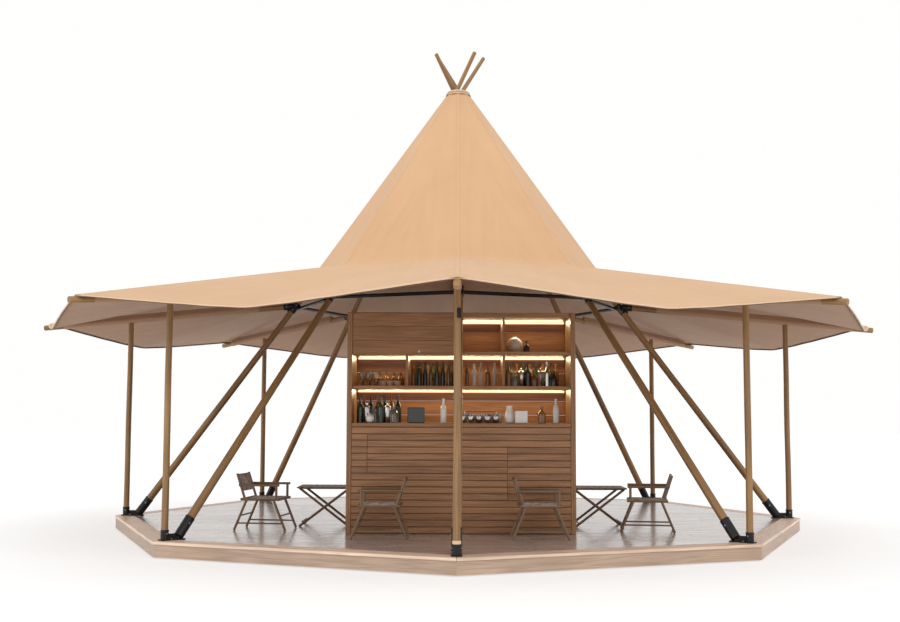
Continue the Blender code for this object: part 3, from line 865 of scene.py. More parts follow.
@dataclass
class Shoes:
    """Black feet: a plate with round corners, two sleeves, a web, bolts and set screws."""

    finishes: Finishes
    plate_in: float = 3.665
    plate_out: float = 3.920
    half: float = 0.047
    plate_t: float = 0.010
    post_at: float = 3.87
    post_r: float = 0.0335
    wall: float = 0.0042
    sleeve_h: float = 0.090
    lean_top: float = DECK_H + 0.200
    low: float = DECK_H + 0.0006

    def plate(self) -> Surface:
        """Foot plate: a rectangle with quarter-round corners."""
        r = 0.016
        turn = np.linspace(0.0, math.pi / 2.0, 6)
        corners = []
        for k, (x, y) in enumerate(((1, 1), (-1, 1), (-1, -1), (1, -1))):
            centre = np.array([x * (self.half - r), -(self.plate_in + self.plate_out) / 2.0
                               + y * ((self.plate_out - self.plate_in) / 2.0 - r)])
            angle = turn + k * math.pi / 2.0
            corners.append(centre + r * np.stack([np.cos(angle), np.sin(angle)], axis=-1))
        return prisms(np.concatenate(corners)[None], self.low, self.low + self.plate_t, 0.0015,
                      np.array([1.0, 0.0]), 21)

    def sleeve(self, bore: float, height: float) -> Surface:
        """Open tube with a rolled lip, from z 0 up."""
        out = bore + self.wall
        lip = 0.002
        return lathe(np.array([(bore, 0.0), (out, 0.0), (out, height - 0.014), (out + lip, height - 0.012),
                               (out + lip, height - 0.002), (out + lip - 0.002, height), (bore, height)]),
                     24, closed=True)

    def bolts(self) -> tuple[Surface, Surface]:
        """Hexagon bolts on the plate and through the sleeves: heads and washers."""
        top = self.low + self.plate_t
        heads, washers = [], []
        for x in (-0.033, 0.033):
            place = np.array([x, -0.5 * (self.post_at + POLE.foot_at) - 0.030, top])
            washers.append(lathe(np.array([(0.010, 0.0), (0.010, 0.002)]), 12).placed(np.eye(3), place))
            heads.append(lathe(np.array([(0.0075, 0.002), (0.0075, 0.007), (0.006, 0.0085)]), 6)
                         .placed(np.eye(3), place))
        for side in (-1.0, 1.0):
            out = np.array([side, 0.0, 0.0])
            for origin, reach in ((spot(self.post_at, top + 0.055), self.post_r),
                                  (POLE.at(DECK_H + 0.150), POLE.foot_r)):
                axes, base = sloped(origin + out * (reach + self.wall - 0.001), out)
                washers.append(lathe(np.array([(0.008, 0.0), (0.008, 0.002)]), 12).placed(axes, base))
                heads.append(lathe(np.array([(0.006, 0.002), (0.006, 0.006), (0.005, 0.007)]), 6)
                             .placed(axes, base))
        return joined(heads), joined(washers)

    def build(self) -> list[bpy.types.Object]:
        """Eight shoes, one at each corner."""
        top = self.low + self.plate_t
        steel = [self.plate(),
                 self.sleeve(self.post_r, self.sleeve_h).placed(np.eye(3), spot(self.post_at, top - 0.001))]
        butt = POLE.at(POLE.foot_z) - POLE.along() * 0.032
        height = float(np.linalg.norm(POLE.at(self.lean_top) - butt))
        steel.append(self.sleeve(POLE.foot_r + 0.0008, height).placed(*sloped(butt, POLE.along())))
        steel.append(box((-0.005, -self.post_at, top - 0.002), (0.005, -POLE.foot_at, top + 0.05), 0.001, 1))
        steel.append(box((-0.030, -self.post_at, top - 0.002), (0.030, -POLE.foot_at - 0.02, top + 0.022),
                         0.003, 1))
        heads, washers = self.bolts()
        parts = [(joined(steel), self.finishes.steel), (washers, self.finishes.bolt), (heads, self.finishes.bolt)]
        return [install(make_piece(f"foot_shoe_{k + 1}", [(around(s, k), m) for s, m in parts]),
                        "black_steel", f"shoe_{k + 1}") for k in range(BAYS)]


@dataclass
class Timber:
    """Round peeled poles: posts, leaning poles and rafters, each a little out of true."""

    finishes: Finishes
    post_at: float = 3.87
    post_r: float = 0.033
    post_top_r: float = 0.030
    tips: tuple[float, float, float] = (DECK_H + 5.55, DECK_H + 5.47, DECK_H + 4.84)
    tip_r: float = 0.023
    sides: int = 20

    def natural(self, start: Array, end: Array, r_start: float, r_end: float, seed: int,
                bow: float = 0.002) -> Surface:
        """A peeled pole: the line bows by a few slow waves and the girth swells and shrinks.

        Args:
            start: centre of the thick end.
            end: centre of the thin end.
            r_start: radius at the thick end.
            r_end: radius at the thin end.
            seed: seed of the waves.
            bow: how far the line strays.

        Returns:
            The closed skin, with cut edges at both ends.
        """
        draw = np.random.default_rng(seed)
        length = float(np.linalg.norm(end - start))
        share = np.linspace(0.0, 1.0, max(12, int(length / 0.09)))
        share = np.concatenate([[0.0, 0.003 / length], share[1:-1], [1.0 - 0.003 / length, 1.0]])
        along = unit(end - start)
        side, other, _ = sloped(start, along)[0]
        wave = share[:, None] * np.array([1.0, 2.0, 3.0]) * math.pi
        calm = np.sin(share * math.pi)[:, None]
        stray = (np.sin(wave) @ draw.normal(0.0, bow / 2.0, 3))[:, None] * side
        stray = (stray + (np.sin(wave) @ draw.normal(0.0, bow / 2.0, 3))[:, None] * other) * calm
        path = start + (end - start) * share[:, None] + stray
        turn = np.arange(self.sides) * 2.0 * math.pi / self.sides
        swell = sum(draw.uniform(0.004, 0.010) * np.sin(k * turn[None] + draw.uniform(1.0, 9.0) * share[:, None]
                                                        * length + draw.uniform(0, 6)) for k in (1, 2, 3))
        radius = (r_start + (r_end - r_start) * share)[:, None] * (1.0 + swell)
        radius[[0, -1]] -= 0.003
        return tube(path, radius, self.sides, float(draw.uniform(0.2, 0.8)), float(draw.uniform(0, 30)))

    def post(self, bay: int) -> list[tuple[Surface, bpy.types.Material]]:
        """Upright post; the front one has a pale collar above its sleeve and a tie cleat."""
        low = DECK_H + 0.0112
        under = RAFTER.at(self.post_at)[2] - RAFTER.radius(self.post_at) * 1.006
        wood = self.natural(spot(self.post_at, low), spot(self.post_at, under + 0.004),
                            self.post_r, self.post_top_r, 100 + bay)
        parts = [(wood, self.finishes.pole)]
        if bay == 0:
            profile = np.array([(0.0, 0.0), (0.0040, 0.001), (0.0050, 0.006), (0.0050, 0.022),
                                (0.0040, 0.028), (0.0, 0.030)]) + np.array([self.post_r + 0.0002, 0.0])
            collar = lathe(profile, 24).placed(np.eye(3), spot(self.post_at, DECK_H + 0.1005))
            parts += [(collar, self.finishes.binding_and_highlight), (self.cleat(), self.finishes.steel)]
        return parts

    def cleat(self) -> Surface:
        """Black cleat on the front post, under the ring's height: a plate, two studs and a bar."""
        middle, front = DECK_H + 2.045, -self.post_at - self.post_r + 0.002
        plate = box((-0.002, front - 0.004, middle - 0.042), (0.031, front + 0.010, middle + 0.042), 0.002, 2)
        studs = [rod((0.015, front, middle + s * 0.022), (0.015, front - 0.020, middle + s * 0.022), 0.005, sides=8)
                 for s in (-1.0, 1.0)]
        bar = rod((0.015, front - 0.022, middle - 0.046), (0.015, front - 0.022, middle + 0.046), 0.006, sides=8)
        return joined([plate, bar] + studs)

    def build(self) -> list[bpy.types.Object]:
        """Eight posts, eight leaning poles and eight rafters."""
        f = self.finishes
        made = []
        for k in range(BAYS):
            n = k + 1
            made.append(install(make_piece(f"peeled_post_{n}", [(around(s, k), m) for s, m in self.post(k)]),
                                "pole_wood", f"post_{n}"))
            tip = self.tips[2] if n % 2 else self.tips[0] if n in (2, BAYS) else self.tips[1]
            tip_r = float(POLE.radius(tip)) if n % 2 else self.tip_r
            pole = self.natural(POLE.at(POLE.foot_z), POLE.at(tip), POLE.foot_r, tip_r, 200 + k, 0.003)
            made.append(install(make_piece(f"leaning_pole_{n}", [(around(pole, k), f.pole)]),
                                "pole_wood", f"pole_{n}"))
            beam = self.natural(RAFTER.at(RAFTER.inner + 0.0004), RAFTER.at(RAFTER.outer), RAFTER.inner_r,
                                RAFTER.outer_r, 300 + k, 0.001)
            made.append(install(make_piece(f"round_rafter_{n}", [(around(beam, k), f.pole)]),
                                "pole_wood", f"rafter_{n}"))
        return made


@dataclass
class Ring:
    """Octagonal tube ring with a pole collar and a rafter socket at each corner."""

    finishes: Finishes
    radius: float = 1.862
    tube_r: float = 0.020
    z: float = DECK_H + 2.44
    collar_half: float = 0.050
    socket_in: float = 1.945
    socket_out: float = 2.06

    def hoop(self) -> Surface:
        """Tube bent at the eight corners: its section is widened by 1 / cos 22.5 there."""
        turn = np.arange(16) * 2.0 * math.pi / 16
        profile = np.stack([self.radius + self.tube_r * np.cos(turn) / CORNER,
                            self.z + self.tube_r * np.sin(turn)], axis=-1)
        hoop = lathe(profile, BAYS, closed=True)
        return hoop.turned(-math.pi / 2.0)

    def corner(self) -> tuple[Surface, Surface]:
        """Collar round the pole, socket for the rafter and gussets, then the clamp bolts."""
        bore = float(POLE.radius(self.z - self.collar_half)) + 0.0006
        wall = 0.0042
        height = 2.0 * self.collar_half / float(POLE.along()[2])

        def sleeve(inner: float, long: float) -> Surface:
            """Open tube with a raised band near each end, from z 0 up."""
            out = inner + wall
            band = 0.002
            return lathe(np.array([(inner, 0.0), (out + band, 0.0), (out + band, 0.010), (out, 0.012),
                                   (out, long - 0.012), (out + band, long - 0.010), (out + band, long),
                                   (inner, long)]), 24, closed=True)

        parts = [sleeve(bore, height).placed(*sloped(POLE.at(self.z - self.collar_half), POLE.along()))]
        start, end = RAFTER.at(self.socket_in), RAFTER.at(self.socket_out)
        parts.append(sleeve(RAFTER.inner_r + 0.0008, float(np.linalg.norm(end - start)))
                     .placed(*sloped(start, end - start)))
        parts.append(box((-0.004, -1.975, self.z - 0.020), (0.004, -1.880, self.z + 0.044), 0.001, 1))
        parts.append(box((-0.004, -2.02, self.z - 0.050), (0.004, -1.930, self.z - 0.018), 0.001, 1))
        bolts = []
        for side in (-1.0, 1.0):
            out = np.array([side, 0.0, 0.0])
            for origin, reach in ((POLE.at(self.z - 0.028), bore), (POLE.at(self.z + 0.028), bore),
                                  (RAFTER.at(2.025), RAFTER.inner_r)):
                axes, base = sloped(origin + out * (reach + wall - 0.001), out)
                bolts.append(lathe(np.array([(0.0075, 0.0), (0.0075, 0.006), (0.006, 0.0075)]), 6)
                             .placed(axes, base))
        return joined(parts), joined(bolts)

    def build(self) -> bpy.types.Object:
        """The ring in one piece."""
        corner, bolts = self.corner()
        whole = joined([self.hoop()] + [around(corner, k) for k in range(BAYS)])
        heads = joined([around(bolts, k) for k in range(BAYS)])
        parts = [(whole, self.finishes.steel), (heads, self.finishes.bolt)]
        return install(make_piece("pole_ring", parts), "black_steel", "ring_frame")


# canvas

@dataclass
class Canopy:
    """One cover of canvas: a cone down to the fold, then a brim with eight points.

    A point is named by u, the bay with its share of the way to the next one, and t, which
    runs 0 to 1 down the cone and 1 to 2 over the brim.
    """

    finishes: Finishes
    top_r: float = 0.105
    top_z: float = DECK_H + 5.06
    fold_r: float = 1.73
    fold_z: float = DECK_H + 2.80
    point_at: float = 4.84
    point_z: float = DECK_H + 2.243
    valley_at: float = 4.55
    valley_z: float = DECK_H + 2.064
    valley_round: float = 0.20
    fold_round: float = 0.035
    cone_sag: float = 0.016
    brim_sag: float = 0.018
    cloth_t: float = 0.0028
    columns: int = 320

    def ruled(self, u: Array, t: Array) -> Array:
        """The cover before it slackens: straight lines from the top to the fold to the hem.

        Args:
            u: bay and share, any number of them.
            t: 0 to 1 on the cone, 1 to 2 on the brim.

        Returns:
            Points of the upper face.
        """
        bay = np.floor(u)
        share = u - bay
        across = np.abs(2.0 * share - 1.0)
        first, second = bay * BAY_ANGLE, (bay + 1.0) * BAY_ANGLE
        flat = np.stack([(1.0 - share) * np.sin(first) + share * np.sin(second),
                         -(1.0 - share) * np.cos(first) - share * np.cos(second)], axis=-1)
        bow = (self.valley_at - self.point_at * CORNER) * (1.0 - across ** 2)
        full = math.hypot(1.0, self.valley_round) - self.valley_round
        rise = ((np.hypot(across, self.valley_round) - self.valley_round) / full + across) / 2.0
        cone, brim = np.clip(t, 0.0, 1.0)[..., None], np.clip(t - 1.0, 0.0, 1.0)[..., None]
        plan = flat * (self.top_r + (self.fold_r - self.top_r) * cone)
        z = self.top_z + (self.fold_z - self.top_z) * cone[..., 0]
        hem = flat * self.point_at + unit(flat) * bow[..., None]
        hem_z = self.valley_z + (self.point_z - self.valley_z) * rise
        plan = plan + (hem - flat * self.fold_r) * brim
        z = z + (hem_z - self.fold_z) * brim[..., 0]
        return np.concatenate([plan, z[..., None]], axis=-1)

    def at(self, u: Array, t: Array) -> Array:
        """The cover as it hangs: the fold rounded by a parabola, the panels a little hollow."""
        u, t = np.broadcast_arrays(np.asarray(u, float), np.asarray(t, float))
        w = self.fold_round
        near = np.clip((t - 1.0 + w) / (2.0 * w), 0.0, 1.0)[..., None]
        before, fold, after = (self.ruled(u, np.full_like(t, v)) for v in (1.0 - w, 1.0, 1.0 + w))
        bend = (1 - near) ** 2 * before + 2 * near * (1 - near) * fold + near ** 2 * after
        points = np.where(np.abs(t - 1.0)[..., None] < w, bend, self.ruled(u, t))
        across = np.abs(2.0 * (u - np.floor(u)) - 1.0)
        hollow = (1.0 - across ** 2) ** 1.2
        cone = np.sin(math.pi * np.clip(t, 0.0, 1.0)) * self.cone_sag * hollow
        brim = np.sin(math.pi * np.clip(t - 1.0, 0.0, 1.0)) * self.brim_sag * hollow
        pull = np.clip(t - 1.0, 0.0, 1.0) ** 2 * 0.0035 * np.cos(across * 9.0 * math.pi) * (1.0 - across)
        out = unit(points[..., :2])
        points[..., :2] -= out * cone[..., None] * 0.8
        points[..., 2] -= cone * 0.5 + brim + pull
        return points

    def normal(self, u: Array, t: Array) -> Array:
        """Outward direction of the cover, from its slopes along u and t."""
        step = 1e-3
        across = self.at(u + step, t) - self.at(u - step, t)
        t = np.clip(t, step, 2.0 - step)
        down = self.at(u, t + step) - self.at(u, t - step)
        return unit(np.cross(down, across))

    def width(self, t: Array) -> Array:
        """Length of one bay of the cover, on the ruled octagon."""
        cone, brim = np.clip(t, 0.0, 1.0), np.clip(t - 1.0, 0.0, 1.0)
        radius = self.top_r + (self.fold_r - self.top_r) * cone + (self.point_at - self.fold_r) * brim
        return 2.0 * radius * math.sin(math.pi / BAYS)

    def rows(self) -> Array:
        """Values of t, close together at the fold and at the hem."""
        w = self.fold_round
        return np.concatenate([np.linspace(0.0, 1.0 - w, 34), np.linspace(1.0 - w, 1.0 + w, 11)[1:],
                               np.linspace(1.0 + w, 2.0, 34)[1:]])

    def sheet(self) -> tuple[Surface, float]:
        """The cover's upper face and its area; the grain is across and along each panel."""
        t = self.rows()
        u = np.arange(self.columns) * BAYS / self.columns
        points = self.at(u[None, :], t[:, None])
        share = u - np.round(u)
        span = share[None, :] * self.width(t)[:, None]
        down = np.concatenate([[0.0], np.cumsum(np.linalg.norm(np.diff(points[:, 0], axis=0), axis=-1))])
        grain = np.stack([span, np.broadcast_to(down[:, None], span.shape), np.zeros_like(span)], axis=-1)
        faces = [lattice(len(t), self.columns, flip=True)]
        flat = points.reshape(-1, 3)
        quad = flat[faces[0]]
        area = 0.5 * np.linalg.norm(np.cross(quad[:, 2] - quad[:, 0], quad[:, 3] - quad[:, 1]), axis=-1).sum()
        tones = [np.full(len(faces[0]), 0.5)]
        return Surface(flat, faces, grain.reshape(-1, 3), tones), float(area)

    def strip(self, bay: int, t_low: float, t_high: float, half: float, lift: float, steps: int) -> Surface:
        """One of the seam tapes along a ridge: a flat band whose edges dip into the cloth.

        Args:
            bay: the ridge that it follows.
            t_low: where it starts.
            t_high: where it ends.
            half: half of its width.
            lift: how far it stands proud.
            steps: rows along it.

        Returns:
            The closed skin: nine points over the top and two under it in each row.
        """
        t = np.linspace(t_low, t_high, steps)[:, None]
        side = np.array([-1.0, -0.94, -0.5, -0.06, 0.06, 0.5, 0.94, 1.0, 0.5, -0.5])[None, :]
        height = np.array([-0.8, 1.0, 1.0, 1.0, 1.0, 1.0, 1.0, -0.8, -0.8, -0.8])[None, :] * lift
        u = bay + side * half / self.width(t)
        t = np.broadcast_to(t, u.shape)
        points = self.at(u, t) + self.normal(u, t) * height[..., None]
        run = t * 2.9
        grain = np.stack([side * half + 0 * run, run, 0 * run], axis=-1).reshape(-1, 3)
        faces = [lattice(steps, side.shape[1], flip=True)]
        count = side.shape[1]
        faces.append(np.stack([np.arange(count), ((steps - 1) * count + np.arange(count))[::-1]]))
        return Surface(points.reshape(-1, 3), faces, grain, [np.full(len(f), 0.6) for f in faces])

    def hem(self, inward: float, drop: float, radius: float) -> Surface:
        """A round section carried along the edge of the brim, for the bolt rope and for the dark tube under it that
        paints the shadow under the hem.
        """
        u = np.arange(BAYS * 48) * (1.0 / 48.0)
        t = np.full_like(u, 2.0)
        path = self.at(u, t) - self.normal(u, t) * self.cloth_t * 0.5
        path[:, :2] -= unit(path[:, :2]) * inward
        path[:, 2] -= drop
        for _ in range(2):
            path = 0.25 * np.roll(path, 1, axis=0) + 0.5 * path + 0.25 * np.roll(path, -1, axis=0)
        return tube(path, np.full(len(path), radius), 10, 0.7, loop=True)

    def cuff(self) -> list[tuple[Surface, bpy.types.Material]]:
        """Doubled collar at the top with a rope lashed round it."""
        z = np.array([-0.055, -0.054, 0.0, 0.004, 0.004, -0.05])
        out = np.array([0.0045, 0.007, 0.006, 0.004, -0.005, -0.006])
        slope = (self.fold_r - self.top_r) / (self.top_z - self.fold_z)
        profile = np.stack([self.top_r + out - z * slope, self.top_z + z], axis=-1)
        band = lathe(profile, BAYS * 4, closed=True)
        angle = np.linspace(0.0, 2.6 * 2.0 * math.pi, 90)
        height = self.top_z - 0.044 + 0.013 * angle / (2.0 * math.pi)
        radius = self.top_r + 0.010 - (height - self.top_z) * slope
        path = np.stack([radius * np.cos(angle), radius * np.sin(angle), height], axis=-1)
        rope = tube(path, np.full(len(path), 0.006), 8)
        return [(band, self.finishes.binding_and_highlight), (rope, self.finishes.rope)]

    def pocket(self) -> Surface:
        """Canvas sleeve on a rafter: a round section under a web that runs up to the cover."""
        at = np.concatenate([np.linspace(2.35, 4.60, 40), [4.66]])
        centre = RAFTER.at(at)
        radius = RAFTER.radius(at) + 0.0045
        share = (at - self.fold_r) / (self.point_at - self.fold_r)
        roof = self.fold_z + (self.point_z - self.fold_z) * share - self.cloth_t - 0.001
        over = np.clip(roof - centre[:, 2], radius * 1.02, radius + 0.030)
        turn = np.linspace(-1.25 * math.pi, 0.25 * math.pi, 19)
        x = radius[:, None] * np.cos(turn)
        z = centre[:, 2:3] + radius[:, None] * np.sin(turn)
        x = np.concatenate([x, np.full((len(at), 1), 0.004), np.full((len(at), 1), -0.004)], axis=1)
        z = np.concatenate([z, (centre[:, 2] + over)[:, None], (centre[:, 2] + over)[:, None]], axis=1)
        y = np.broadcast_to(-at[:, None], x.shape)
        points = np.stack([x, y, z], axis=-1)
        count = x.shape[1]
        grain = np.stack([x, at[:, None] + 0 * x, 0 * x], axis=-1).reshape(-1, 3)
        faces = [lattice(len(at), count), np.stack([np.arange(count)[::-1], (len(at) - 1) * count + np.arange(count)])]
        return Surface(points.reshape(-1, 3), faces, grain, [np.full(len(f), 0.4) for f in faces])

    def patch(self, bay: int) -> Surface:
        """Doubled corner at a point of the brim, with two stitched rows."""
        return self.strip(bay, 1.90, 1.996, 0.085, 0.0016, 6)

    def build(self) -> bpy.types.Object:
        """The cover, its seam tapes, hem, cuff, corner patches and rafter sleeves."""
        f = self.finishes
        surface, area = self.sheet()
        cover = make_piece("canvas_cover", [(surface, f.canvas)], sharp=80.0)
        cover.data.materials.append(f.painted_shade_lining)
        thick = cover.modifiers.new("thickness", "SOLIDIFY")
        thick.thickness = self.cloth_t
        thick.offset = -1.0
        # The inner face takes the second finish, darker canvas that paints the shade under the cover.
        thick.material_offset = 1
        install(cover, "canopy_cloth", "canopy_cone", "canopy_brim")
        tapes = [self.strip(k, 0.03, 1.90, 0.024, 0.0015, 90) for k in range(BAYS)]
        patches = [self.patch(k) for k in range(BAYS)]
        pockets = [around(self.pocket(), k) for k in range(BAYS)]
        extras = [
            install(make_piece("seam_tapes", [(joined(tapes + patches), f.canvas)]), "canopy_cloth", "canopy_cone"),
            # The bolt rope is paler than the canvas, partly painted highlight along the lit edge of the brim.
            install(make_piece("hem_rope", [(self.hem(0.002, 0.0, 0.0065), f.binding_and_highlight),
                                            # Dark tube under the rope: painted shadow beneath the hem.
                                            (self.hem(0.013, 0.007, 0.006), f.painted_hem_shadow)]), "canopy_cloth", "canopy_brim"),
            install(make_piece("top_cuff", self.cuff()), "canopy_cloth", "canopy_cone"),
            # The rafter sleeves take the darker inner canvas, painted shade under the brim.
            install(make_piece("rafter_sleeves", [(joined(pockets), f.painted_shade_lining)]), "canopy_cloth", "canopy_brim"),
        ]
        log.info("canvas area %.2f square metres", area)
        return cover


# bar

class Ware(Enum):
    """The vessels on the bar, each a profile of (radius, height) in millimetres."""

    BOTTLE = ((0, 34, 37, 37, 36, 28, 16, 13.5, 13.5, 15.5, 15.5, 12), (0, 0, 4, 150, 172, 196, 216, 230, 276, 277, 290, 290))
    SQUAT = ((0, 44, 48, 48, 42, 20, 15, 15, 18, 18), (0, 0, 5, 92, 118, 138, 150, 172, 173, 188))
    SLIM = ((0, 22, 26, 26, 22, 13, 11, 11, 13, 13), (0, 0, 4, 190, 214, 240, 252, 292, 293, 306))
    TUMBLER = ((0, 28, 33, 38, 36, 31, 27, 0), (0, 0, 3, 92, 92, 10, 8, 8))
    GOBLET = ((0, 32, 33, 6, 4, 5, 26, 36, 38, 33, 31, 34, 24, 0), (0, 0, 3, 8, 14, 66, 82, 104, 132, 168, 168, 132, 88, 80))
    CUP = ((0, 24, 27, 39, 41, 40, 37, 26, 0), (0, 0, 3, 40, 66, 66, 63, 10, 8))
    JUG = ((0, 40, 52, 60, 56, 40, 32, 40, 36, 28, 34, 48, 46, 0), (0, 0, 6, 60, 110, 150, 176, 206, 206, 178, 150, 110, 10, 8))
    SHAKER = ((0, 34, 36, 43, 43, 38, 22, 18, 18, 10), (0, 0, 3, 132, 140, 172, 188, 190, 214, 218))
    BALL = ((0, 30, 62, 80, 86, 80, 62, 34, 20, 20), (0, 2, 24, 56, 88, 120, 148, 166, 170, 182))


def vessel(kind: Ware, place: tuple[float, float, float], size: float = 1.0, tone: float = 0.5,
           sides: int = 16) -> Surface:
    """A turned vessel that stands at a place."""
    radius, height = (np.array(row, float) * size / 1000.0 for row in kind.value)
    radius = np.maximum(radius, 0.0006)
    return lathe(np.stack([radius, height], axis=-1), sides, tone=tone).placed(np.eye(3), np.array(place))


@dataclass
class Bar:
    """Slatted bar: side boards, counter, back boards, lit shelves and what stands on them."""

    finishes: Finishes
    middle: float = 0.04
    half: float = 1.15
    front: float = -2.03
    shelf_front: float = -2.00
    back: float = -1.38
    side_t: float = 0.050
    board_t: float = 0.030
    counter_t: float = 0.040
    glow_watts: float = 3.8
    glow_colour: tuple[float, float, float] = (1.0, 0.80, 0.46)
    lip: float = 0.008
    counter_z: float = DECK_H + 1.10
    shelf_t: float = 0.036
    lower_z: float = DECK_H + 1.438
    upper_z: float = DECK_H + 1.785
    top_board_z: float = DECK_H + 2.165
    top_z: float = DECK_H + 2.215
    dividers: tuple[float, ...] = (-0.51, -0.02, 0.47)
    slats: int = 16

    @property
    def left(self) -> float:
        """Inner face of the left side board."""
        return self.middle - self.half + self.side_t + 0.0006

    @property
    def right(self) -> float:
        """Inner face of the right side board."""
        return self.middle + self.half - self.side_t - 0.0006

    def slatting(self) -> Surface:
        """Sixteen rows of slats; two seams cut some of the rows."""
        low, high = DECK_H + 0.004, self.counter_z - self.counter_t - 0.002
        pitch = (high - low) / self.slats
        z = low + pitch * (np.arange(self.slats) + 0.5)
        centres, halves = [], []
        for level in z:
            rise = level - DECK_H
            cuts = [x for x, a, b in ((0.505, 0.34, 0.85), (-0.90, 0.58, 0.96)) if a < rise < b]
            edges = [self.left] + sorted(cuts) + [self.right]
            for a, b in zip(edges[:-1], edges[1:]):
                centres.append(((a + b) / 2.0, self.front + 0.010, level))
                halves.append(((b - a) / 2.0 - 0.0012, 0.010, pitch / 2.0 - 0.0035))
        return blocks(np.array(centres), np.array(halves), 0.003, 0, 31)

    def backing(self) -> Surface:
        """Dark panel behind the slats."""
        return box((self.left, self.front + 0.0202, DECK_H + 0.001),
                   (self.right, self.front + self.board_t, self.counter_z - self.counter_t - 0.001), 0.001, 0, 32, 0.1)

    def side(self, side: Side) -> bpy.types.Object:
        """Side board from the floor to the top, of two planks, with a darker strip down its front edge that paints the
        shade of a recess there.
        """
        x = self.middle + side.value * (self.half - self.side_t / 2.0)
        half, low = self.side_t / 2.0, DECK_H + 0.0006
        seam = (self.front + self.back) / 2.0
        board = joined([box((x - half, self.front, low), (x + half, seam - 0.0005, self.top_z), 0.004, 2, 33, 0.8),
                        box((x - half, seam + 0.0005, low), (x + half, self.back, self.top_z), 0.004, 2, 34, 0.6)])
        # A darker strip standing a millimetre proud of the front edge: painted shade where a recess would be.
        groove_shade_strip = box((x - 0.003, self.front - 0.0010, DECK_H + 0.02), (x + 0.003, self.front + 0.002,
                     self.top_z - 0.02), 0.0004, 2, 35, 0.0)
        name = f"bar_side_{side.name.lower()}"
        return install(make_piece(f"{name}_board", [(board, self.finishes.frame), (groove_shade_strip, self.finishes.slat)]),
                       "frame_wood", name)

    def carcass(self) -> Surface:
        """Back boards, two shelves, a top board and three dividers, each its own board."""
        back = self.back - self.board_t
        rows = np.linspace(DECK_H + 0.0006, self.top_z, 16)
        mids = (rows[:-1] + rows[1:]) / 2.0
        centre = np.stack([np.full_like(mids, self.middle), np.full_like(mids, (back + self.back) / 2.0), mids], -1)
        size = np.stack([np.full_like(mids, (self.right - self.left) / 2.0),
                         np.full_like(mids, self.board_t / 2.0), (rows[1:] - rows[:-1]) / 2.0 - 0.0008], -1)
        parts = [blocks(centre, size, 0.003, 0, 36)]
        for i, (low, high) in enumerate(((self.lower_z, self.lower_z + self.shelf_t),
                                         (self.upper_z, self.upper_z + self.shelf_t),
                                         (self.top_board_z, self.top_z))):
            parts.append(box((self.left, self.shelf_front, low), (self.right, back - 0.0003, high), 0.003, 0, 37 + i, 0.6))
        for i, x in enumerate(self.dividers):
            for low, high in ((self.lower_z + self.shelf_t, self.upper_z), (self.upper_z + self.shelf_t, self.top_board_z)):
                parts.append(box((x - 0.0125, self.shelf_front + 0.020, low + 0.0003),
                                 (x + 0.0125, back - 0.0003, high - 0.0003), 0.002, 2, 41 + i, 0.15))
        return joined(parts)

    def panel(self) -> list[tuple[Surface, bpy.types.Material]]:
        """Closed panel over the upper left bays: three boards and a light pull."""
        low, high = self.upper_z + 0.005, self.top_z - 0.005
        left, right = self.left + 0.001, self.dividers[1]
        y0, y1 = self.shelf_front - 0.020, self.shelf_front - 0.0006
        rows = np.linspace(low + 0.001, high - 0.001, 4)
        boards = [box((left, y0, a + 0.0008), (right, y1, b - 0.0008), 0.0025, 0, 46 + i, 0.35 + 0.15 * i)
                  for i, (a, b) in enumerate(zip(rows[:-1], rows[1:]))]
        pull = lathe(np.array([(0.006, 0.0), (0.006, 0.008), (0.011, 0.011), (0.012, 0.016), (0.009, 0.020)]), 16)
        axes, base = sloped(np.array([-0.385, y0, self.upper_z + 0.033]), np.array([0.0, -1.0, 0.0]))
        return [(joined(boards), self.finishes.shelf), (pull.placed(axes, base), self.finishes.white)]

    def counter(self) -> Surface:
        """Counter: three boards glued edge to edge, with a nosed front."""
        low, high = self.counter_z - self.counter_t, self.counter_z
        front, back = self.front - self.lip, self.back - self.board_t - 0.0006
        cuts = np.linspace(front, back, 4)
        return joined([box((self.left, a + 0.0001, low + 0.0001), (self.right, b - 0.0001, high),
                           0.004 if i == 0 else 0.0008, 0, 50 + i, 0.6 + 0.1 * i)
                       for i, (a, b) in enumerate(zip(cuts[:-1], cuts[1:]))])

    def strips(self) -> Surface:
        """Light strips on the back wall, close under the two shelves and the right top board."""
        back = self.back - self.board_t
        spans = ((self.left + 0.01, self.right - 0.01, self.lower_z), (self.left + 0.01, self.right - 0.01, self.upper_z),
                 (self.dividers[1] + 0.02, self.right - 0.01, self.top_board_z))
        return joined([box((a, back - 0.016, z - 0.019), (b, back - 0.0008, z - 0.0008), 0.003, 0, 55)
                       for a, b, z in spans])

    def lamps(self) -> None:
        """Warm light of the strips: a long thin area lamp in front of each, aimed down and back."""
        strips = (("lower", self.left, self.lower_z), ("upper", self.left, self.upper_z),
                  ("top", self.dividers[1], self.top_board_z))
        for name, left, z in strips:
            data = bpy.data.lights.new(f"shelf_glow_{name}", "AREA")
            data.shape, data.size, data.size_y = "RECTANGLE", self.right - left - 0.06, 0.04
            data.energy, data.color = self.glow_watts * data.size, self.glow_colour
            lamp = bpy.data.objects.new(f"shelf_glow_{name}", data)
            bpy.context.scene.collection.objects.link(lamp)
            lamp.location = ((left + self.right) / 2.0, self.back - self.board_t - 0.10, z - 0.012)
            lamp.rotation_euler = (math.radians(-40.0), 0.0, 0.0)
            lamp.visible_camera = False

    def wares(self) -> list[tuple[Surface, bpy.types.Material]]:
        """Bottles, glasses, cups and boxes, by shelf from left to right."""
        f = self.finishes
        draw = np.random.default_rng(77)
        out: list[tuple[Surface, bpy.types.Material]] = []

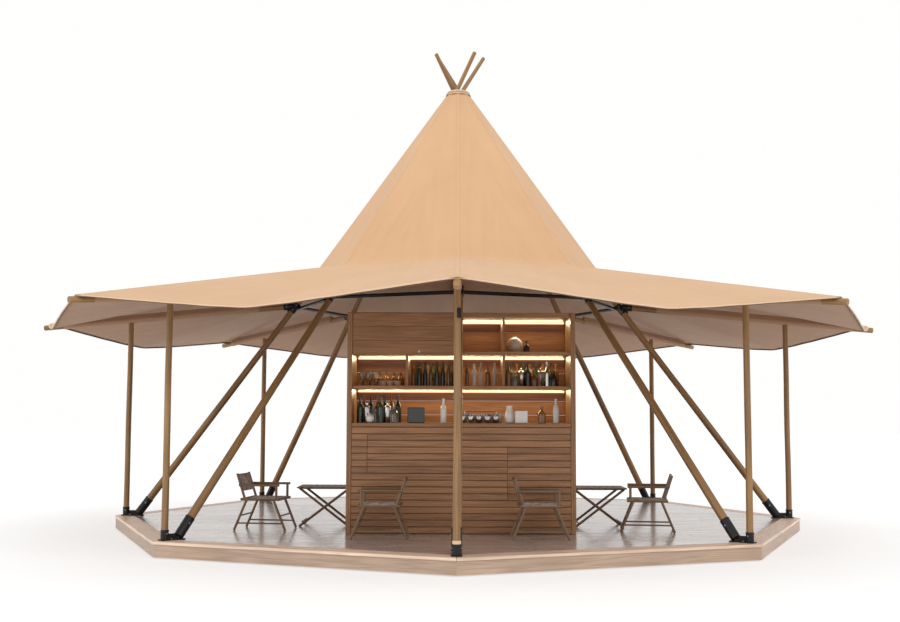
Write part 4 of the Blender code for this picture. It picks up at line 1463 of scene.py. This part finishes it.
        def stand(kind: Ware, x: float, z: float, finish: bpy.types.Material, size: float = 1.0, y: float = -1.60) -> None:
            """Stand one vessel on a shelf, a little out of line."""
            place = (x, y + float(draw.uniform(-0.02, 0.02)), z + 0.0006)
            out.append((vessel(kind, place, size, float(draw.uniform(0.2, 1.0))), finish))

        shelf, counter, top = self.lower_z + self.shelf_t, self.counter_z, self.upper_z + self.shelf_t
        for x in np.arange(-1.00, -0.56, 0.075):
            stand(Ware.GOBLET if x < -0.8 else Ware.CUP, float(x), shelf, f.glass if x < -0.8 else f.white, 0.9)
            stand(Ware.SQUAT, float(x) + 0.03, shelf, f.amber, 0.8, -1.50)
        for i, x in enumerate(np.arange(-0.46, -0.06, 0.062)):
            stand(Ware.SLIM, float(x), shelf, (f.amber, f.green, f.black)[i % 3], 0.85)
            stand(Ware.BOTTLE, float(x) + 0.03, shelf, (f.green, f.amber, f.glass)[i % 3], 0.80, -1.50)
        for i, x in enumerate(np.arange(0.03, 0.43, 0.072)):
            stand((Ware.BOTTLE, Ware.SLIM)[i % 2], float(x), shelf, (f.glass, f.amber, f.white)[i % 3], 0.82)
        for i, x in enumerate(np.arange(0.53, 1.07, 0.068)):
            stand((Ware.BOTTLE, Ware.SQUAT, Ware.SHAKER)[i % 3], float(x), shelf, (f.amber, f.glass, f.silver, f.black)[i % 4], 0.9)
            stand(Ware.BOTTLE, float(x) + 0.03, shelf, (f.green, f.amber)[i % 2], 0.85, -1.49)
        for i, x in enumerate(np.arange(-0.99, -0.58, 0.07)):
            stand((Ware.BOTTLE, Ware.SHAKER, Ware.SQUAT)[i % 3], float(x), counter, (f.green, f.silver, f.glass)[i % 3], 0.92, -1.85)
            stand(Ware.BOTTLE, float(x) + 0.03, counter, (f.amber, f.black)[i % 2], 0.95, -1.70)
        for i, x in enumerate(np.arange(0.05, 0.45, 0.085)):
            stand(Ware.CUP, float(x), counter, f.silver, 1.0, -1.95)
            stand(Ware.TUMBLER, float(x) + 0.04, counter, f.glass, 1.0, -1.82)
        stand(Ware.JUG, 0.53, counter, f.white, 0.85, -1.90)
        stand(Ware.BOTTLE, 1.00, counter, f.white, 0.85, -1.90)
        stand(Ware.SQUAT, 0.86, counter, f.amber, 0.9, -1.88)
        stand(Ware.BOTTLE, -0.14, counter, f.white, 0.85, -1.86)
        stand(Ware.BALL, 0.60, top, f.white, 1.0)
        stand(Ware.SQUAT, 0.72, top, f.black, 0.7)
        stand(Ware.BALL, -0.88, counter, f.white, 0.5, -1.98)
        out.append((box((-0.50, -2.0, counter + 0.0006), (-0.33, -1.86, counter + 0.155), 0.006, 0, 61, 0.4), f.black))
        out.append((box((0.585, -1.98, counter + 0.0006), (0.71, -1.85, counter + 0.125), 0.004, 0, 62, 0.9), f.white))
        rail = [rod((0.08, -1.80, counter + 0.12), (0.40, -1.80, counter + 0.12), 0.004, sides=8),
                rod((0.08, -1.80, counter + 0.001), (0.08, -1.80, counter + 0.12), 0.004, sides=8),
                rod((0.40, -1.80, counter + 0.001), (0.40, -1.80, counter + 0.12), 0.004, sides=8)]
        out.append((joined(rail), f.silver))
        return out

    def build(self) -> list[bpy.types.Object]:
        """The bar's pieces, and the light of its strips."""
        f = self.finishes
        self.lamps()
        return [
            install(make_piece("bar_slats", [(self.slatting(), f.slat), (self.backing(), f.slat)]), "slat_wood", "bar_front"),
            self.side(Side.LEFT),
            self.side(Side.RIGHT),
            install(make_piece("bar_counter_boards", [(self.counter(), f.frame)]), "frame_wood", "bar_counter"),
            install(make_piece("bar_shelf_boards", [(self.carcass(), f.shelf)]), "shelf_wood", "bar_shelves"),
            install(make_piece("bar_closed_panel", self.panel()), "shelf_wood", "bar_upper_panel"),
            install(make_piece("bar_light_strips", [(self.strips(), f.glow)]), "shelf_wood"),
            install(make_piece("bar_wares", self.wares()), "frame_wood"),
        ]


# camp furniture

@dataclass
class Camp:
    """Low folding furniture of round sticks and cloth."""

    finishes: Finishes
    stick: float = 0.013
    table_half: tuple[float, float] = (0.29, 0.24)
    table_legs: tuple[float, float] = (0.26, 0.19)
    table_top: float = 0.415
    table_board: float = 0.022
    seat_half: tuple[float, float] = (0.20, 0.22)
    seat_top: float = 0.327
    side: float = 0.20
    leg_top: float = 0.14
    leg_foot: float = 0.27
    back_foot: float = -0.16
    back_head: float = -0.25
    back_top: float = 0.565
    arm_z: float = 0.455
    tables: dict[str, tuple[float, float, float]] = field(default_factory=lambda: {
        "table_left": (-1.41, -1.08, 0.0), "table_right": (1.51, -1.08, 0.0)})
    chairs: dict[str, tuple[float, float, float]] = field(default_factory=lambda: {
        "chair_left": (-1.98, -1.58, -math.radians(8.0)),
        "chair_right": (1.96, -1.62, math.pi - math.radians(8.0)),
        "chair_inner_left": (-0.74, -2.40, math.pi),
        "chair_inner_right": (0.80, -2.40, 0.0)})

    def bar(self, start: tuple, end: tuple, radius: float | None = None, seed: float = 0.0) -> Surface:
        """A stick between two points."""
        return rod(np.array(start), np.array(end), radius or self.stick, sides=10, tone=0.3 + 0.4 * math.sin(seed) ** 2,
                   seed=seed)

    def table(self) -> list[tuple[Surface, bpy.types.Material]]:
        """Roll-top table: slats on two rails, two X frames, and rods that tie them."""
        hx, hy = self.table_half
        lx, ly = self.table_legs
        high = self.table_top - self.table_board
        count = 9
        x = np.linspace(-hx, hx, count + 1)
        centre = np.stack([(x[1:] + x[:-1]) / 2.0, np.zeros(count), np.full(count, self.table_top - 0.007)], -1)
        slats = blocks(centre, np.array([hx / count - 0.0025, hy, 0.007]), 0.002, 1, 71)
        parts = [box((-hx + 0.02, s * (hy - 0.035) - 0.011, high), (hx - 0.02, s * (hy - 0.035) + 0.011, self.table_top - 0.0142),
                     0.002, 0, 72, 0.5) for s in (-1.0, 1.0)]
        for i, y in enumerate((-ly, ly)):
            parts.append(self.bar((-lx, y - 0.009, 0.002), (lx, y - 0.009, high + 0.004), seed=i + 0.3))
            parts.append(self.bar((lx, y + 0.012, 0.002), (-lx, y + 0.012, high + 0.004), seed=i + 2.3))
        middle = (high + 0.002) / 2.0
        parts.append(self.bar((0.0, -ly - 0.02, middle), (0.0, ly + 0.02, middle), 0.009, 5.0))
        for s in (-1.0, 1.0):
            parts.append(self.bar((s * (lx - 0.03), -ly, 0.05), (s * (lx - 0.03), ly, 0.05), 0.008, 6.0 + s))
        return [(joined([slats] + parts), self.finishes.camp)]

    def chair_frame(self) -> list[tuple[Surface, bpy.types.Material]]:
        """Splayed legs, seat rails, leaning back posts, arms and stretchers."""
        seat = self.seat_top - 0.012
        parts = []
        for i, y in enumerate((-self.side, self.side)):
            for end in (-1.0, 1.0):
                parts.append(self.bar((end * self.leg_foot, y, 0.002), (end * self.leg_top, y, seat), seed=i + end + 3))
            parts.append(self.bar((-0.205, y, seat), (0.205, y, seat), seed=i + 7.0))
            parts.append(self.bar((self.back_foot, y * 0.93, seat - 0.01), (self.back_head, y * 0.93, self.back_top + 0.01), seed=i + 9.0))
            parts.append(self.bar((0.17, y, seat), (0.17, y, self.arm_z), seed=i + 11.0))
            parts.append(self.bar((0.20, y, self.arm_z + 0.004), (-0.225, y, self.arm_z + 0.004), 0.013, i + 13.0))
            parts.append(self.bar((self.leg_foot - 0.03, y, 0.075), (-self.leg_foot + 0.03, y, 0.075), 0.008, i + 15.0))
        for end in (-1.0, 1.0):
            parts.append(self.bar((end * 0.195, -self.side, seat), (end * 0.195, self.side, seat), seed=end + 17.0))
            parts.append(self.bar((end * (self.leg_foot - 0.06), -self.side, 0.15), (end * (self.leg_foot - 0.06), self.side, 0.15),
                                  0.008, end + 19.0))
        parts.append(self.bar((self.back_head + 0.002, -self.side * 0.93, self.back_top - 0.005),
                              (self.back_head + 0.002, self.side * 0.93, self.back_top - 0.005), 0.010, 21.0))
        return [(joined(parts), self.finishes.camp)]

    def sling(self, corners: Array, sag: float, out: Array, rows: int = 13, columns: int = 13) -> tuple[Surface, tuple[float, float]]:
        """Cloth between two rails: a flat four-cornered patch pushed by sag (1 - a^2) (1 - 0.4 b^2).

        Args:
            corners: its four corners, counter-clockwise seen from above or from the front.
            sag: how far the middle hangs.
            out: the direction that it hangs to.
            rows: rows of points.
            columns: points in a row.

        Returns:
            The open skin, and its width and length.
        """
        a, b = np.meshgrid(np.linspace(-1, 1, columns), np.linspace(-1, 1, rows))
        weight = np.stack([(1 - a) * (1 - b), (1 + a) * (1 - b), (1 + a) * (1 + b), (1 - a) * (1 + b)], -1) / 4.0
        points = weight @ corners + out * (sag * (1 - a ** 2) * (1 - 0.4 * b ** 2))[..., None]
        wide = float(np.linalg.norm(np.diff(points[rows // 2], axis=0), axis=-1).sum())
        long = float(np.linalg.norm(np.diff(points[:, columns // 2], axis=0), axis=-1).sum())
        grain = np.stack([a * wide / 2, b * long / 2, 0 * a], -1).reshape(-1, 3)
        faces = [lattice(rows, columns, loop_columns=False)]
        return Surface(points.reshape(-1, 3), faces, grain, [np.full(len(faces[0]), 0.5)]), (wide, long)

    def cloths(self) -> list[tuple[str, Surface, tuple[float, float]]]:
        """Seat and back of a chair, as open skins."""
        z = self.seat_top - 0.0005
        s = self.side + 0.006
        seat = np.array([(-0.19, -s, z), (-0.19, s, z), (0.19, s, z), (0.19, -s, z)])
        low, high = 0.400, self.back_top - 0.006
        rail = self.seat_top - 0.012

        def lean(h: float) -> float:
            """Where the back posts are at a height, at their front."""
            return self.back_foot + (self.back_head - self.back_foot) * (h - rail) / (self.back_top - rail) + 0.012

        t = self.side * 0.93
        back = np.array([(lean(low), t, low), (lean(low), -t, low), (lean(high), -t, high), (lean(high), t, high)])
        return [("seat", *self.sling(seat[[0, 3, 2, 1]][[3, 0, 1, 2]], 0.020, np.array([0.0, 0.0, -1.0]))),
                ("back", *self.sling(back, 0.022, np.array([-1.0, 0.0, -0.3])))]

    def build(self) -> list[bpy.types.Object]:
        """Two tables and four chairs; each chair has a frame, a seat and a back cloth."""
        f = self.finishes
        made = []
        floor = DECK_H + 0.0006
        for name, (x, y, turn) in self.tables.items():
            parts = [(s.placed(turn_z(turn), np.array([x, y, floor])), m) for s, m in self.table()]
            made.append(install(make_piece(f"camp_{name}", parts), "camp_furniture", name))
        for name, (x, y, turn) in self.chairs.items():
            where = (turn_z(turn), np.array([x, y, floor]))
            parts = [(s.placed(*where), m) for s, m in self.chair_frame()]
            made.append(install(make_piece(f"camp_{name}", parts), "camp_furniture", name))
            for part, skin, flat in self.cloths():
                cloth = make_piece(f"camp_{name}_{part}", [(skin.placed(*where), f.sling)], sharp=80.0)
                thick = cloth.modifiers.new("thickness", "SOLIDIFY")
                thick.thickness = 0.003
                thick.offset = 0.0
                made.append(install(cloth, "camp_furniture", name))
        return made


# studio

@dataclass
class Studio:
    """Pale floor, even sky, one soft light and the photograph's camera."""

    eye: tuple[float, float, float] = (0.009, -13.834, 1.3276)
    focal_px: float = 1171.6
    frame_px: float = 900.0
    pitch: float = math.radians(5.11)
    yaw: float = math.radians(-0.41)
    roll: float = math.radians(0.20)
    sky: float = 1.0
    sun: float = 0.7
    fill: float = 0.55

    def camera(self) -> bpy.types.Object:
        """Camera at the eye: yaw to the left, pitch up, then a little roll."""
        cp, sp = math.cos(self.pitch), math.sin(self.pitch)
        cy, sy = math.cos(self.yaw), math.sin(self.yaw)
        cr, sr = math.cos(self.roll), math.sin(self.roll)
        right, ahead = np.array([cy, -sy, 0.0]), np.array([sy, cy, 0.0])
        forward = cp * ahead + sp * np.array([0.0, 0.0, 1.0])
        up = -sp * ahead + cp * np.array([0.0, 0.0, 1.0])
        right, up = cr * right + sr * up, -sr * right + cr * up
        data = bpy.data.cameras.new("photo_camera")
        data.sensor_width = 36.0
        data.lens = self.focal_px * data.sensor_width / self.frame_px
        data.clip_end = 300.0
        camera = bpy.data.objects.new("photo_camera", data)
        bpy.context.scene.collection.objects.link(camera)
        place = np.eye(4)
        place[:3, 0], place[:3, 1], place[:3, 2], place[:3, 3] = right, up, -forward, self.eye
        camera.matrix_world = Matrix(place.tolist())
        bpy.context.scene.camera = camera
        return camera

    def floor(self) -> bpy.types.Object:
        """A wide pale floor."""
        g = Graph("studio_floor")
        shade = g.span(g.noise(g.place(), 0.6, 3.0), 0.3, 0.7, 0.50, 0.52)
        finish = g.finish(Base_Color=g.node("ShaderNodeCombineColor", {0: shade, 1: shade, 2: shade}), Roughness=0.9,
                          Specular_IOR_Level=0.1, Emission_Color=(1.0, 0.995, 0.99), Emission_Strength=0.5)
        floor = make_piece("studio_floor", [(lathe(np.array([(80.0, -0.05), (80.0, -0.001)]), 64), finish)])
        return floor

    def light(self) -> None:
        """Even white sky, a soft sun from the right front and a low one from the left front."""
        world = bpy.data.worlds.new("studio_sky")
        world.use_nodes = True
        back = world.node_tree.nodes["Background"]
        back.inputs["Color"].default_value = (1.0, 0.995, 0.985, 1.0)
        back.inputs["Strength"].default_value = self.sky
        bpy.context.scene.world = world
        for name, energy, tilt, turn in (("soft_key", self.sun, 52.0, 35.0), ("soft_fill", self.fill, 78.0, -55.0)):
            data = bpy.data.lights.new(name, "SUN")
            data.energy = energy
            data.angle = math.radians(40.0)
            lamp = bpy.data.objects.new(name, data)
            bpy.context.scene.collection.objects.link(lamp)
            lamp.rotation_euler = (math.radians(tilt), 0.0, math.radians(turn))

    def build(self) -> None:
        """The whole studio."""
        self.camera()
        self.floor()
        self.light()
        bpy.context.scene.view_settings.view_transform = "Standard"


def main() -> None:
    """Build every sub-assembly round the frame."""
    logging.basicConfig(level=logging.INFO, format="%(name)s %(message)s")
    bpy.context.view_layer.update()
    finishes = Finishes()
    Deck(finishes).build()
    Shoes(finishes).build()
    Timber(finishes).build()
    Ring(finishes).build()
    for slot in frame["nodes"]["crown_ring"].material_slots:
        slot.material = finishes.steel
    Canopy(finishes).build()
    Bar(finishes).build()
    Camp(finishes).build()
    Studio().build()
    bpy.context.view_layer.update()


if __name__ == "__main__":
    main()
